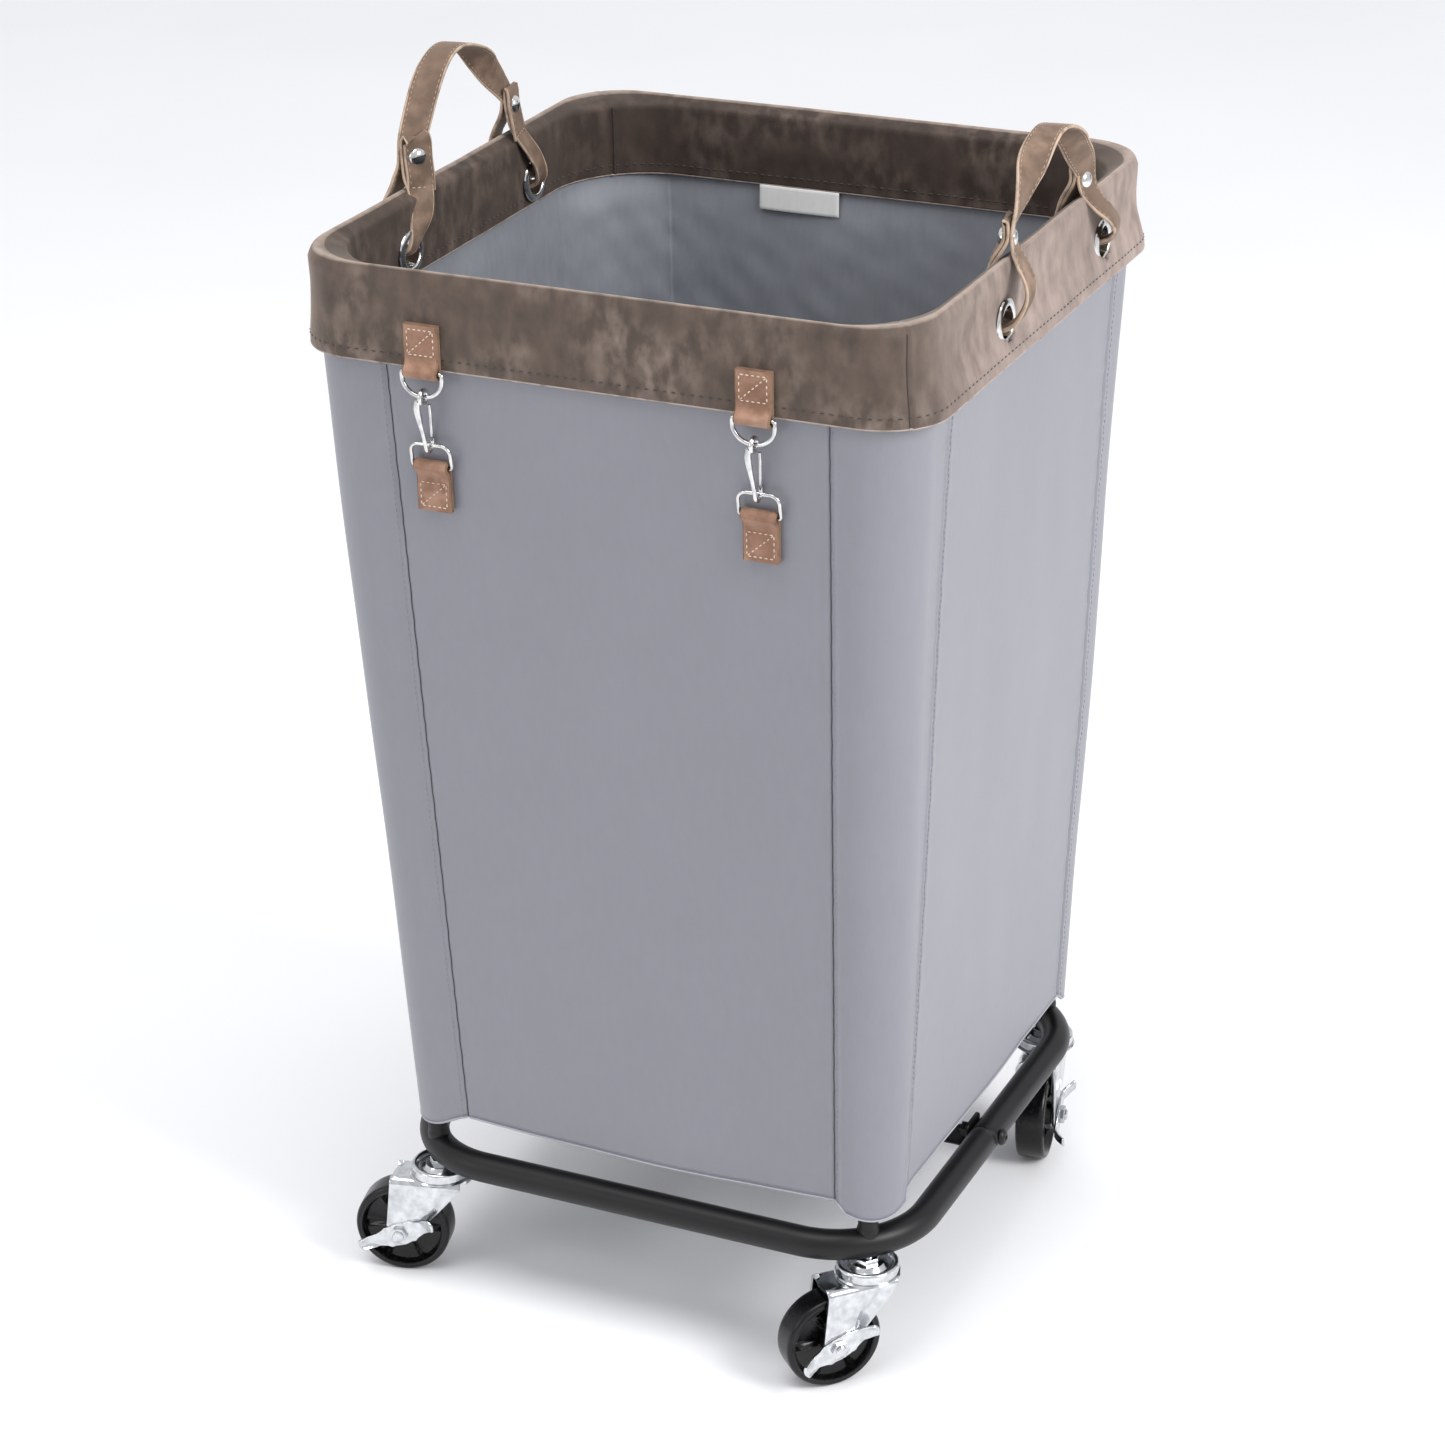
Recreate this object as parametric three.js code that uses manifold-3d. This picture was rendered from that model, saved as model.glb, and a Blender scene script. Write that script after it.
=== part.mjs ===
// Rolling laundry hamper: a tapered fabric bag with a leather-look rim hangs in a steel post frame
// on a round-cornered base ring with four braked swivel casters.
// Millimetres, +Z up. The origin is on the floor under the middle of the cart.
// The clip side faces -Y, and the two carry handles stand over the -X and +X rims.
import * as THREE from "three";
import { mergeVertices } from "three/addons/utils/BufferGeometryUtils.js";
import Module from "manifold-3d";

const wasm = await Module();
wasm.setup();

// ---- Driving dimensions ----

// Clearance between pieces that touch, and between pieces that turn in each other.
const FIT = 0.3;
const RUNNING = 0.4;

// Rim and leather band: a sleeve folded over the wire hoop, open downwards.
const RIM_SIDE = 420;
const RIM_HEIGHT = 746.5;
const RIM_CORNER = 40;
const BAND_DROP = 62;
const BAND_INNER_DROP = 55;
const BAND_SKIN = 2;
const HOOP_WIRE = 8;

// Bag: it fits round the posts with a little ease, and has loose corner tips below its hem.
const BAG_EASE = 1.9;
const BAG_BASE_CORNER = 30;
const BAG_WALL = 2.5;
const HEM_ABOVE_RING = 25;
const CORNER_TIP_DROP = 14;
const SEAM_FROM_CORNER_LOW = 44;
const SEAM_FROM_CORNER_HIGH = 61;
const LINER_SKIN = 1.5;
const LINER_AT_BAND = 1;
const BASE_BOARD = 3;

// Base ring, made as two U halves that plug together on the left and right sides.
const RING_SIDE = 364.8;
const RING_CORNER = 65;
const RING_TUBE = 20.6;
const TUBE_WALL = 1.2;
const RING_JOINT_Y = -16;
const SPIGOT_LENGTH = 30;
const CROSS_BAR_WIDTH = 24;
const CROSS_BAR_THICK = 2.5;
const JOINT_BOLT = 6;

// Posts: four tubes that lean outwards from the ring's corners to the hoop.
const POST_TUBE = 13.5;
const POST_FOOT_ANGLE = 49.1;
const POST_SLEEVE_GAP = 1;
const STUB_LENGTH = 40;

// Casters: every one has a rocker brake on its right-hand side, seen along its trail.
const WHEEL_DIAMETER = 67;
const WHEEL_WIDTH = 21.5;
const WHEEL_HEADROOM = 4.1;
const WHEEL_SIDE_ROOM = 1.8;
const CASTER_TRAIL = 28.3;
const RACE_DIAMETER = 42;
const RACE_HEIGHT = 12.5;
const KING_PIN = 5;
const PIN_HEAD = 2;
const STEM_DIAMETER = 8;
const AXLE_DIAMETER = 8;
const FORK_PLATE = 2.5;
const PEDAL_LENGTH = 57;
const PEDAL_PLATE = 2;
const PEDAL_TILT = 22;
const CASTER_PLACES = [
  { name: "front_right", x: 1, y: -1, swivel: 226.7 },
  { name: "front_left", x: -1, y: -1, swivel: 193.7 },
  { name: "rear_right", x: 1, y: 1, swivel: 280.7 },
  { name: "rear_left", x: -1, y: 1, swivel: 48 },
];

// Handles: leather straps, each end looped through an eyelet and snapped above the rim.
const STRAP_WIDTH = 20;
const STRAP_THICK = 2.2;
const STRAP_NECK = 13;
const EYELET_SPACING = 174;
const EYELET_BELOW_RIM = 37.5;
const EYELET_HOLE = 19;
const EYELET_FLANGE = 30;
const SNAP_SPACING = 135;
const SNAP_DIAMETER = 12.5;
const SNAP_BARREL = 2;
const HANDLE_RISE = 80;
const HANDLE_PLACES = [
  { name: "left", x: -1, y: 12 },
  { name: "right", x: 1, y: 22 },
];

// Clip sets: tab, D-ring, snap hook, square ring and lower tab, hung down the front of the bag.
const CLIP_SPACING = 223;
const CLIP_SHIFT = -2.5;
const HARDWARE_WIDTH = 24.8;
const TAB_THICK = 4.6;
const UPPER_TAB_LENGTH = 34.5;
const LOWER_TAB_LENGTH = 34;
const RING_WIRE = 3;
const D_RING_BOW = 16;
const SQUARE_RING_HEIGHT = 18;
const SQUARE_RING_WIRE = 2.6;
const HOOK_EYE = 4.3;
const HOOK_WIRE = 3;
const HOOK_NOSE = 3;
const GATE_GAP = 0.5;
const CHAIN_HEIGHT = 64;
const UPPER_TAB_BELOW_RIM = 33;

// ---- Values worked out from the driving dimensions ----

const rimHalf = RIM_SIDE / 2;
const rimCornerCentre = rimHalf - RIM_CORNER;
const bandInnerHalf = rimHalf - 2 * BAND_SKIN - HOOP_WIRE - 2 * FIT;
const bandInnerLow = RIM_HEIGHT - BAND_INNER_DROP;
const hoopHalf = rimHalf - BAND_SKIN - FIT - HOOP_WIRE / 2;
const hoopHeight = RIM_HEIGHT - BAND_SKIN - FIT - HOOP_WIRE / 2;

const wheelRadius = WHEEL_DIAMETER / 2;
const forkHalf = WHEEL_WIDTH / 2 + WHEEL_SIDE_ROOM;
const forkTop = WHEEL_DIAMETER + WHEEL_HEADROOM + PIN_HEAD + FIT + FORK_PLATE;
const casterHeight = forkTop + RACE_HEIGHT;
const pedalFace = forkHalf + FORK_PLATE + RUNNING;

const ringHeight = casterHeight + RING_TUBE / 2;
const ringHalf = RING_SIDE / 2;
const ringCornerCentre = ringHalf - RING_CORNER;
const boltY = RING_JOINT_Y + SPIGOT_LENGTH * 0.3;

const bagTop = hoopHeight - HOOP_WIRE / 2 - 3;
const bagTopHalf = rimHalf - BAND_SKIN - FIT;
const bagTopCorner = bagTopHalf - rimCornerCentre;
const hemHeight = ringHeight + RING_TUBE / 2 + HEM_ABOVE_RING;

const postRadius = POST_TUBE / 2;
const sleeveRadius = postRadius + POST_SLEEVE_GAP;
const footAngle = THREE.MathUtils.degToRad(POST_FOOT_ANGLE);
const postFootX = ringCornerCentre + RING_CORNER * Math.cos(footAngle);
const postFootY = ringCornerCentre + RING_CORNER * Math.sin(footAngle);
const postHead = rimCornerCentre + (bagTopCorner - BAG_WALL - sleeveRadius) * Math.SQRT1_2;

// The point on a post's axis at a height, for the corner given by the two signs.
function postPoint(xSign, ySign, z) {
  const t = (z - ringHeight) / (bagTop - ringHeight);
  const x = THREE.MathUtils.lerp(postFootX, postHead, t);
  const y = THREE.MathUtils.lerp(postFootY, postHead, t);
  return new THREE.Vector3(xSign * x, ySign * y, z);
}

const bagBaseHalf = postPoint(1, 1, hemHeight).y + sleeveRadius + BAG_WALL + BAG_EASE;

// The band's inner skin turns each corner with the radius that just clears the post's sleeve.
const postAtBand = postPoint(1, 1, bandInnerLow);
const postInside = (postAtBand.x + postAtBand.y) * Math.SQRT1_2 - sleeveRadius;
const skinOutside = bandInnerHalf * Math.SQRT2 + BAND_SKIN + FIT + LINER_AT_BAND;
const bandInnerCorner = (skinOutside - postInside) / (Math.SQRT2 - 1);

const eyeletHeight = RIM_HEIGHT - EYELET_BELOW_RIM;
const eyeletBarrel = EYELET_HOLE / 2 + 0.9;
const loopRise = Math.sqrt((EYELET_HOLE / 2 - 1) ** 2 - (STRAP_NECK / 2) ** 2) - 1.5;
const strapBase = RIM_HEIGHT + FIT + STRAP_THICK;
const stemHalf = STRAP_THICK + FIT;
const hingeHeight = strapBase + 2 * FIT + STRAP_THICK + FIT;
const snapHeight = hingeHeight + SNAP_DIAMETER + FIT;
const stemMiddle = (SNAP_SPACING - STRAP_THICK) / 2 - 1;
const handleX = (rimHalf + bandInnerHalf) / 2;

const tabWidth = HARDWARE_WIDTH - 0.8;
const dRingHalf = (HARDWARE_WIDTH + RING_WIRE) / 2;
const squareRingHalf = (HARDWARE_WIDTH + SQUARE_RING_WIRE) / 2;
const squareRingRise = SQUARE_RING_HEIGHT - SQUARE_RING_WIRE;
const tabLoop = (TAB_THICK + RING_WIRE) / 2 + 0.5;
const clipTop = RIM_HEIGHT - UPPER_TAB_BELOW_RIM - UPPER_TAB_LENGTH + tabLoop;
const clipBottom = clipTop - CHAIN_HEIGHT;

// Half the bag's outside width at a height.
function bagShare(z) {
  return (z - hemHeight) / (bagTop - hemHeight);
}

function bagHalf(z) {
  return THREE.MathUtils.lerp(bagBaseHalf, bagTopHalf, bagShare(z));
}

const upperTabBack = rimHalf + FIT;
const lowerTabBack = bagHalf(clipBottom + tabLoop) + FIT;
const clipTopY = -(upperTabBack + tabLoop);
const clipBottomY = -(lowerTabBack + tabLoop);
const chainY = clipTopY - clipBottomY;
const chainZ = clipTop - D_RING_BOW - clipBottom;
const chainLean = Math.atan2(-chainY, chainZ);
const hookSpan = Math.hypot(chainY, chainZ) - squareRingRise;

// Facets: steps round a corner, and sides of a round frame tube.
const CORNER_STEPS = 6;
const TUBE_SIDES = 12;

const MATERIALS = {
  leather: new THREE.MeshStandardMaterial({ color: 0x685a50, roughness: 0.55, metalness: 0 }),
  strap: new THREE.MeshStandardMaterial({ color: 0xa07c60, roughness: 0.6, metalness: 0 }),
  tab: new THREE.MeshStandardMaterial({ color: 0x86644e, roughness: 0.6, metalness: 0 }),
  canvas: new THREE.MeshStandardMaterial({ color: 0x94949e, roughness: 0.8, metalness: 0 }),
  board: new THREE.MeshStandardMaterial({ color: 0x777a80, roughness: 0.9, metalness: 0 }),
  blackSteel: new THREE.MeshStandardMaterial({ color: 0x1d1d1f, roughness: 0.4, metalness: 0.3 }),
  nickel: new THREE.MeshStandardMaterial({ color: 0xd8d8d8, roughness: 0.15, metalness: 1 }),
  zinc: new THREE.MeshStandardMaterial({ color: 0xc9cbce, roughness: 0.25, metalness: 1 }),
  wheel: new THREE.MeshStandardMaterial({ color: 0x0d0d0e, roughness: 0.3, metalness: 0 }),
};

const group = new THREE.Group();

// ---- Solids ----

// A three.js geometry as a solid. A surface that came out facing inwards is turned round.
function solid(geometry) {
  const bare = geometry.clone();
  bare.deleteAttribute("normal");
  bare.deleteAttribute("uv");
  const merged = mergeVertices(bare, 1e-4);
  const vertProperties = new Float32Array(merged.attributes.position.array);
  const triVerts = new Uint32Array(merged.index.array);
  const made = new wasm.Manifold(new wasm.Mesh({ numProp: 3, vertProperties, triVerts }));
  if (made.volume() > 0) return made;
  for (let i = 0; i < triVerts.length; i += 3) {
    const swap = triVerts[i + 1];
    triVerts[i + 1] = triVerts[i + 2];
    triVerts[i + 2] = swap;
  }
  return new wasm.Manifold(new wasm.Mesh({ numProp: 3, vertProperties, triVerts }));
}

function join(...parts) {
  return parts.reduce((whole, next) => whole.add(next));
}

function cut(body, ...tools) {
  return tools.reduce((whole, next) => whole.subtract(next), body);
}

// Puts a solid into the scene as a named mesh.
function place(name, material, body, matrix = new THREE.Matrix4()) {
  const mesh = body.getMesh();
  const count = mesh.vertProperties.length / mesh.numProp;
  const positions = new Float32Array(count * 3);
  for (let i = 0; i < count; i++) {
    const start = i * mesh.numProp;
    positions.set(mesh.vertProperties.subarray(start, start + 3), i * 3);
  }
  const geometry = new THREE.BufferGeometry();
  geometry.setAttribute("position", new THREE.BufferAttribute(positions, 3));
  geometry.setIndex(new THREE.BufferAttribute(new Uint32Array(mesh.triVerts), 1));
  geometry.applyMatrix4(matrix);
  geometry.computeVertexNormals();
  const made = new THREE.Mesh(geometry, material);
  made.name = name;
  group.add(made);
}

function box(x0, x1, y0, y1, z0, z1) {
  const geometry = new THREE.BoxGeometry(x1 - x0, y1 - y0, z1 - z0);
  geometry.translate((x0 + x1) / 2, (y0 + y1) / 2, (z0 + z1) / 2);
  return solid(geometry);
}

// A round bar between two points.
function bar(from, to, radius, sides = 12) {
  const along = to.clone().sub(from);
  const geometry = new THREE.CylinderGeometry(radius, radius, along.length(), sides);
  const up = new THREE.Vector3(0, 1, 0);
  geometry.applyQuaternion(new THREE.Quaternion().setFromUnitVectors(up, along.clone().normalize()));
  const middle = from.clone().add(to).multiplyScalar(0.5);
  geometry.translate(middle.x, middle.y, middle.z);
  return solid(geometry);
}

// A turned piece: the profile is [radius, height] pairs round +Z, closed on the axis or on itself.
function turned(profile, sides) {
  const points = profile.map(([radius, height]) => new THREE.Vector2(radius, height));
  const geometry = new THREE.LatheGeometry(points, sides);
  geometry.rotateX(Math.PI / 2);
  return solid(geometry);
}

// An outline in the XY plane, raised from z0 to z1.
function prism(outline, z0, z1) {
  const shape = new THREE.Shape(outline);
  const geometry = new THREE.ExtrudeGeometry(shape, { depth: z1 - z0, bevelEnabled: false });
  geometry.translate(0, 0, z0);
  return solid(geometry);
}

// An outline given as [y, z], carried along X from x0 to x1.
function prismAlongX(outline, x0, x1) {
  const geometry = new THREE.ExtrudeGeometry(
    new THREE.Shape(outline.map(([y, z]) => new THREE.Vector2(y, z))),
    { depth: x1 - x0, bevelEnabled: false },
  );
  const axes = new THREE.Matrix4().makeBasis(
    new THREE.Vector3(0, 1, 0),
    new THREE.Vector3(0, 0, 1),
    new THREE.Vector3(1, 0, 0),
  );
  geometry.applyMatrix4(axes);
  geometry.translate(x0, 0, 0);
  return solid(geometry);
}

// An outline given as [x, z], carried along Y from y0 to y1.
function prismAlongY(outline, y0, y1) {
  const geometry = new THREE.ExtrudeGeometry(
    new THREE.Shape(outline.map(([x, z]) => new THREE.Vector2(x, z))),
    { depth: y1 - y0, bevelEnabled: false },
  );
  geometry.rotateX(Math.PI / 2);
  geometry.translate(0, y1, 0);
  return solid(geometry);
}

function arcPoints(cx, cy, radius, fromDegrees, toDegrees, steps) {
  const points = [];
  for (let i = 0; i <= steps; i++) {
    const angle = THREE.MathUtils.degToRad(fromDegrees + ((toDegrees - fromDegrees) * i) / steps);
    points.push([cx + radius * Math.cos(angle), cy + radius * Math.sin(angle)]);
  }
  return points;
}

// A square outline with round corners, anticlockwise from above.
function roundedSquare(half, corner, steps = CORNER_STEPS) {
  const reach = half - corner;
  const quarters = [
    [reach, reach, 0],
    [-reach, reach, 90],
    [-reach, -reach, 180],
    [reach, -reach, 270],
  ];
  return quarters.flatMap(([cx, cy, start]) =>
    arcPoints(cx, cy, corner, start, start + 90, steps).map(([x, y]) => new THREE.Vector2(x, y)),
  );
}

// A closed body between two horizontal outlines that have the same number of points.
function loft(low, zLow, high, zHigh) {
  const count = low.length;
  const positions = [];
  low.forEach((p) => positions.push(p.x, p.y, zLow));
  high.forEach((p) => positions.push(p.x, p.y, zHigh));
  const index = [];
  for (let i = 0; i < count; i++) {
    const next = (i + 1) % count;
    index.push(i, next, count + next, i, count + next, count + i);
  }
  THREE.ShapeUtils.triangulateShape(low, []).forEach(([a, b, c]) => index.push(c, b, a));
  THREE.ShapeUtils.triangulateShape(high, []).forEach(([a, b, c]) => {
    index.push(count + a, count + b, count + c);
  });
  const geometry = new THREE.BufferGeometry();
  geometry.setAttribute("position", new THREE.BufferAttribute(new Float32Array(positions), 3));
  geometry.setIndex(index);
  return solid(geometry);
}

// A path whose stations are its own listed points, so straight runs take one step.
class StationPath extends THREE.Curve {
  constructor(points, tangents) {
    super();
    this.points = points;
    this.tangents = tangents;
  }
  getPoint(t) {
    return this.points[Math.round(t * (this.points.length - 1))].clone();
  }
  getPointAt(u) {
    return this.getPoint(u);
  }
  getTangent(t) {
    return this.tangents[Math.round(t * (this.tangents.length - 1))].clone();
  }
  getTangentAt(u) {
    return this.getTangent(u);
  }
}

// A round tube along listed [point, tangent] stations.
function tubeAlong(stations, radius, sides) {
  const path = new StationPath(
    stations.map(([point]) => point),
    stations.map(([, tangent]) => tangent.clone().normalize()),
  );
  const section = new THREE.Shape(
    arcPoints(0, 0, radius, 0, 360 - 360 / sides, sides - 1).map(([x, y]) => new THREE.Vector2(x, y)),
  );
  const geometry = new THREE.ExtrudeGeometry(section, {
    steps: stations.length - 1,
    extrudePath: path,
    bevelEnabled: false,
  });
  return solid(geometry);
}

// Stations along one half of a horizontal rounded square: side +1 is the +Y half, -1 the -Y half.
function halfLoopStations(half, corner, z, endY, side, steps) {
  const reach = half - corner;
  const stations = [[new THREE.Vector3(half, endY, z), new THREE.Vector3(0, side, 0)]];
  for (const cornerX of [1, -1]) {
    const from = cornerX > 0 ? 0 : 90;
    for (let i = 0; i <= steps; i++) {
      const angle = THREE.MathUtils.degToRad(from + (90 * i) / steps);
      const x = cornerX * reach + corner * Math.cos(angle);
      const y = side * (reach + corner * Math.sin(angle));
      const tangent = new THREE.Vector3(-Math.sin(angle), side * Math.cos(angle), 0);
      stations.push([new THREE.Vector3(x, y, z), tangent]);
    }
  }
  stations.push([new THREE.Vector3(-half, endY, z), new THREE.Vector3(0, -side, 0)]);
  return stations;
}

// ---- Base ring, cross bar and posts ----

const UP = new THREE.Vector3(0, 0, 1);

function stemHoles(ySign) {
  return [1, -1].map((xSign) => {
    const foot = new THREE.Vector3(xSign * postFootX, ySign * postFootY, ringHeight - RING_TUBE);
    const top = foot.clone().addScaledVector(UP, 2 * RING_TUBE);
    return bar(foot, top, STEM_DIAMETER / 2 + RUNNING);
  });
}

function jointBoltHole() {
  const reach = ringHalf + RING_TUBE;
  const start = new THREE.Vector3(-reach, boltY, ringHeight);
  return bar(start, new THREE.Vector3(reach, boltY, ringHeight), JOINT_BOLT / 2 + RUNNING);
}

function rearRing() {
  const endY = RING_JOINT_Y + FIT;
  const run = halfLoopStations(ringHalf, RING_CORNER, ringHeight, endY, 1, CORNER_STEPS);
  const bore = halfLoopStations(ringHalf, RING_CORNER, ringHeight, endY - 1, 1, CORNER_STEPS);
  const outer = tubeAlong(run, RING_TUBE / 2, TUBE_SIDES);
  const inner = tubeAlong(bore, RING_TUBE / 2 - TUBE_WALL, TUBE_SIDES);
  return cut(outer, inner, ...stemHoles(1), jointBoltHole());
}

function frontRing() {
  const bore = RING_TUBE / 2 - TUBE_WALL;
  const spigot = bore - FIT - 0.2;
  const run = halfLoopStations(ringHalf, RING_CORNER, ringHeight, RING_JOINT_Y, -1, CORNER_STEPS);
  const hollow = halfLoopStations(
    ringHalf, RING_CORNER, ringHeight, RING_JOINT_Y - 3, -1, CORNER_STEPS,
  );
  const outer = tubeAlong(run, RING_TUBE / 2, TUBE_SIDES);
  const spigots = [1, -1].map((side) => {
    const from = new THREE.Vector3(side * ringHalf, RING_JOINT_Y - 2, ringHeight);
    const to = new THREE.Vector3(side * ringHalf, RING_JOINT_Y + SPIGOT_LENGTH, ringHeight);
    return bar(from, to, spigot, TUBE_SIDES);
  });
  const spigotBores = [1, -1].map((side) => {
    const from = new THREE.Vector3(side * ringHalf, RING_JOINT_Y - 4, ringHeight);
    const to = new THREE.Vector3(side * ringHalf, RING_JOINT_Y + SPIGOT_LENGTH + 1, ringHeight);
    return bar(from, to, spigot - TUBE_WALL, TUBE_SIDES);
  });
  const body = cut(outer, tubeAlong(hollow, bore, TUBE_SIDES));
  return cut(join(body, ...spigots), ...spigotBores, ...stemHoles(-1), jointBoltHole());
}

// A flat bar under the bag, with an upright lug at each end against the ring's inner side.
function crossBar() {
  const y0 = boltY - CROSS_BAR_WIDTH * 0.4;
  const y1 = y0 + CROSS_BAR_WIDTH;
  const end = ringHalf - RING_TUBE / 2 - FIT;
  const low = ringHeight - CROSS_BAR_THICK;
  const flat = box(-end, end, y0, y1, low - JOINT_BOLT, low - JOINT_BOLT + CROSS_BAR_THICK);
  const lugs = [1, -1].map((side) => {
    const inner = side * (end - CROSS_BAR_THICK);
    const outer = side * end;
    const top = ringHeight + JOINT_BOLT + 2;
    return box(Math.min(inner, outer), Math.max(inner, outer), y0, y1, low - JOINT_BOLT, top);
  });
  return cut(join(flat, ...lugs), jointBoltHole());
}

// Round-head bolt through ring and lug, with its nut on the inside.
function jointBolt() {
  const head = 6;
  const tubeOut = RING_TUBE / 2 + FIT;
  const inside = -tubeOut - CROSS_BAR_THICK - FIT;
  const shank = JOINT_BOLT / 2;
  return turned(
    [
      [0, inside - 8],
      [shank, inside - 8],
      [shank, inside - 5],
      [5.4, inside - 5],
      [5.4, inside],
      [shank, inside],
      [shank, tubeOut],
      [head, tubeOut],
      [head * 0.8, tubeOut + 2.6],
      [0, tubeOut + 3.6],
    ],
    12,
  );
}

// Hollow post, notched to sit on the ring and open at both ends.
function post(xSign, ySign) {
  const foot = postPoint(xSign, ySign, ringHeight);
  const head = postPoint(xSign, ySign, bagTop - 8);
  const saddle = tubeAlong(
    halfLoopStations(ringHalf, RING_CORNER, ringHeight, 0, ySign, CORNER_STEPS),
    RING_TUBE / 2 + FIT,
    TUBE_SIDES,
  );
  const tube = bar(foot, head, postRadius, 16);
  const bore = bar(
    postPoint(xSign, ySign, ringHeight - 20),
    postPoint(xSign, ySign, bagTop),
    postRadius - TUBE_WALL,
    16,
  );
  return cut(tube, bore, saddle);
}

// The wire hoop that carries the rim, with a stub at each corner that plugs into a post.
function rimHoop() {
  const corner = hoopHalf - rimCornerCentre;
  const loops = [1, -1].map((side) =>
    tubeAlong(halfLoopStations(hoopHalf, corner, hoopHeight, 0, side, CORNER_STEPS), HOOP_WIRE / 2, 8),
  );
  const stubRadius = postRadius - TUBE_WALL - FIT;
  const stubs = [];
  for (const xSign of [1, -1]) {
    for (const ySign of [1, -1]) {
      const low = postPoint(xSign, ySign, hoopHeight - STUB_LENGTH);
      stubs.push(bar(low, postPoint(xSign, ySign, hoopHeight + 1), stubRadius, 12));
    }
  }
  return join(...loops, ...stubs);
}

// ---- Bag, base board and band ----

function bagOutline(z, inset) {
  const corner = THREE.MathUtils.lerp(BAG_BASE_CORNER, bagTopCorner, bagShare(z));
  return roundedSquare(bagHalf(z) - inset, corner - inset);
}

// Inside outline: flat walls between the seams, and a liner that passes each corner inside its post.
function linerOutline(z, inset) {
  const half = bagHalf(z) - inset;
  const fromCorner = THREE.MathUtils.lerp(SEAM_FROM_CORNER_LOW, SEAM_FROM_CORNER_HIGH, bagShare(z));
  const seam = bagHalf(z) - fromCorner;
  const axis = postPoint(1, 1, z);
  const fold = (axis.x + axis.y) / 2 - (sleeveRadius + LINER_SKIN + inset - BAG_WALL) * Math.SQRT1_2;
  const corner = [
    [half, seam],
    [fold, fold],
    [seam, half],
  ];
  const turns = [
    ([x, y]) => [x, y],
    ([x, y]) => [-y, x],
    ([x, y]) => [-x, -y],
    ([x, y]) => [y, -x],
  ];
  return turns.flatMap((turn) => corner.map(turn).map(([x, y]) => new THREE.Vector2(x, y)));
}

function eyeletPlaces() {
  return HANDLE_PLACES.flatMap((handle) =>
    [-1, 1].map((end) => ({
      name: `${handle.name}_${end < 0 ? "front" : "rear"}`,
      side: handle.x,
      y: handle.y + (end * EYELET_SPACING) / 2,
      end,
    })),
  );
}

function eyeletHoles() {
  return eyeletPlaces().map(({ side, y }) => {
    const from = new THREE.Vector3(side * (bandInnerHalf - 10), y, eyeletHeight);
    const to = new THREE.Vector3(side * (rimHalf + 10), y, eyeletHeight);
    return bar(from, to, eyeletBarrel + RUNNING, 16);
  });
}

function bag() {
  const tip = hemHeight - CORNER_TIP_DROP;
  const floor = hemHeight + BAG_WALL;
  const outside = loft(bagOutline(tip, 0), tip, bagOutline(bagTop, 0), bagTop);
  const under = loft(
    bagOutline(tip - 1, BAG_WALL), tip - 1, bagOutline(hemHeight, BAG_WALL), hemHeight,
  );
  const inside = loft(
    linerOutline(floor, BAG_WALL), floor, linerOutline(bagTop + 1, BAG_WALL), bagTop + 1,
  );
  const seam = bagBaseHalf - SEAM_FROM_CORNER_LOW;
  const wide = bagBaseHalf + 10;
  const spans = [
    box(-seam, seam, -wide, wide, tip - 1, hemHeight),
    box(-wide, wide, -seam, seam, tip - 1, hemHeight),
  ];
  const sleeves = [];
  for (const xSign of [1, -1]) {
    for (const ySign of [1, -1]) {
      const low = postPoint(xSign, ySign, tip - 1);
      sleeves.push(bar(low, postPoint(xSign, ySign, bagTop + 5), sleeveRadius));
    }
  }
  const skin = BAND_SKIN + FIT;
  const bandRoom = prism(
    roundedSquare(bandInnerHalf + skin, bandInnerCorner + skin),
    bandInnerLow - FIT,
    bagTop + 1,
  );
  return cut(outside, under, inside, bandRoom, ...spans, ...sleeves, ...eyeletHoles());
}

function baseBoard() {
  const bottom = hemHeight + BAG_WALL + FIT;
  return prism(linerOutline(bottom, BAG_WALL + 1), bottom, bottom + BASE_BOARD);
}

function rimBand() {
  const low = RIM_HEIGHT - BAND_DROP;
  const outside = prism(roundedSquare(rimHalf, RIM_CORNER), low, RIM_HEIGHT);
  const mouth = prism(roundedSquare(bandInnerHalf, bandInnerCorner), low - 1, RIM_HEIGHT + 1);
  const innerSkin = bandInnerHalf + BAND_SKIN;
  const innerSkinCorner = bandInnerCorner + BAND_SKIN;
  const slotOuter = prism(
    roundedSquare(rimHalf - BAND_SKIN, RIM_CORNER - BAND_SKIN), low - 1, RIM_HEIGHT - BAND_SKIN,
  );
  const slotInner = prism(roundedSquare(innerSkin, innerSkinCorner), bandInnerLow, RIM_HEIGHT);
  return cut(outside, mouth, cut(slotOuter, slotInner), ...eyeletHoles());
}

// ---- Eyelets and handles ----

// A spool that lines the hole through band and bag: barrel with a rolled flange at each end.
function eyelet() {
  const hole = EYELET_HOLE / 2;
  const flange = EYELET_FLANGE / 2;
  const outer = rimHalf + FIT;
  const inner = bandInnerHalf - FIT;
  return turned(
    [
      [hole, inner - 0.8],
      [hole + 2, inner - 1.8],
      [flange, inner],
      [eyeletBarrel, inner],
      [eyeletBarrel, outer],
      [flange, outer],
      [hole + 2, outer + 1.8],
      [hole, outer + 0.8],
      [hole, inner - 0.8],
    ],
    16,
  );
}

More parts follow.
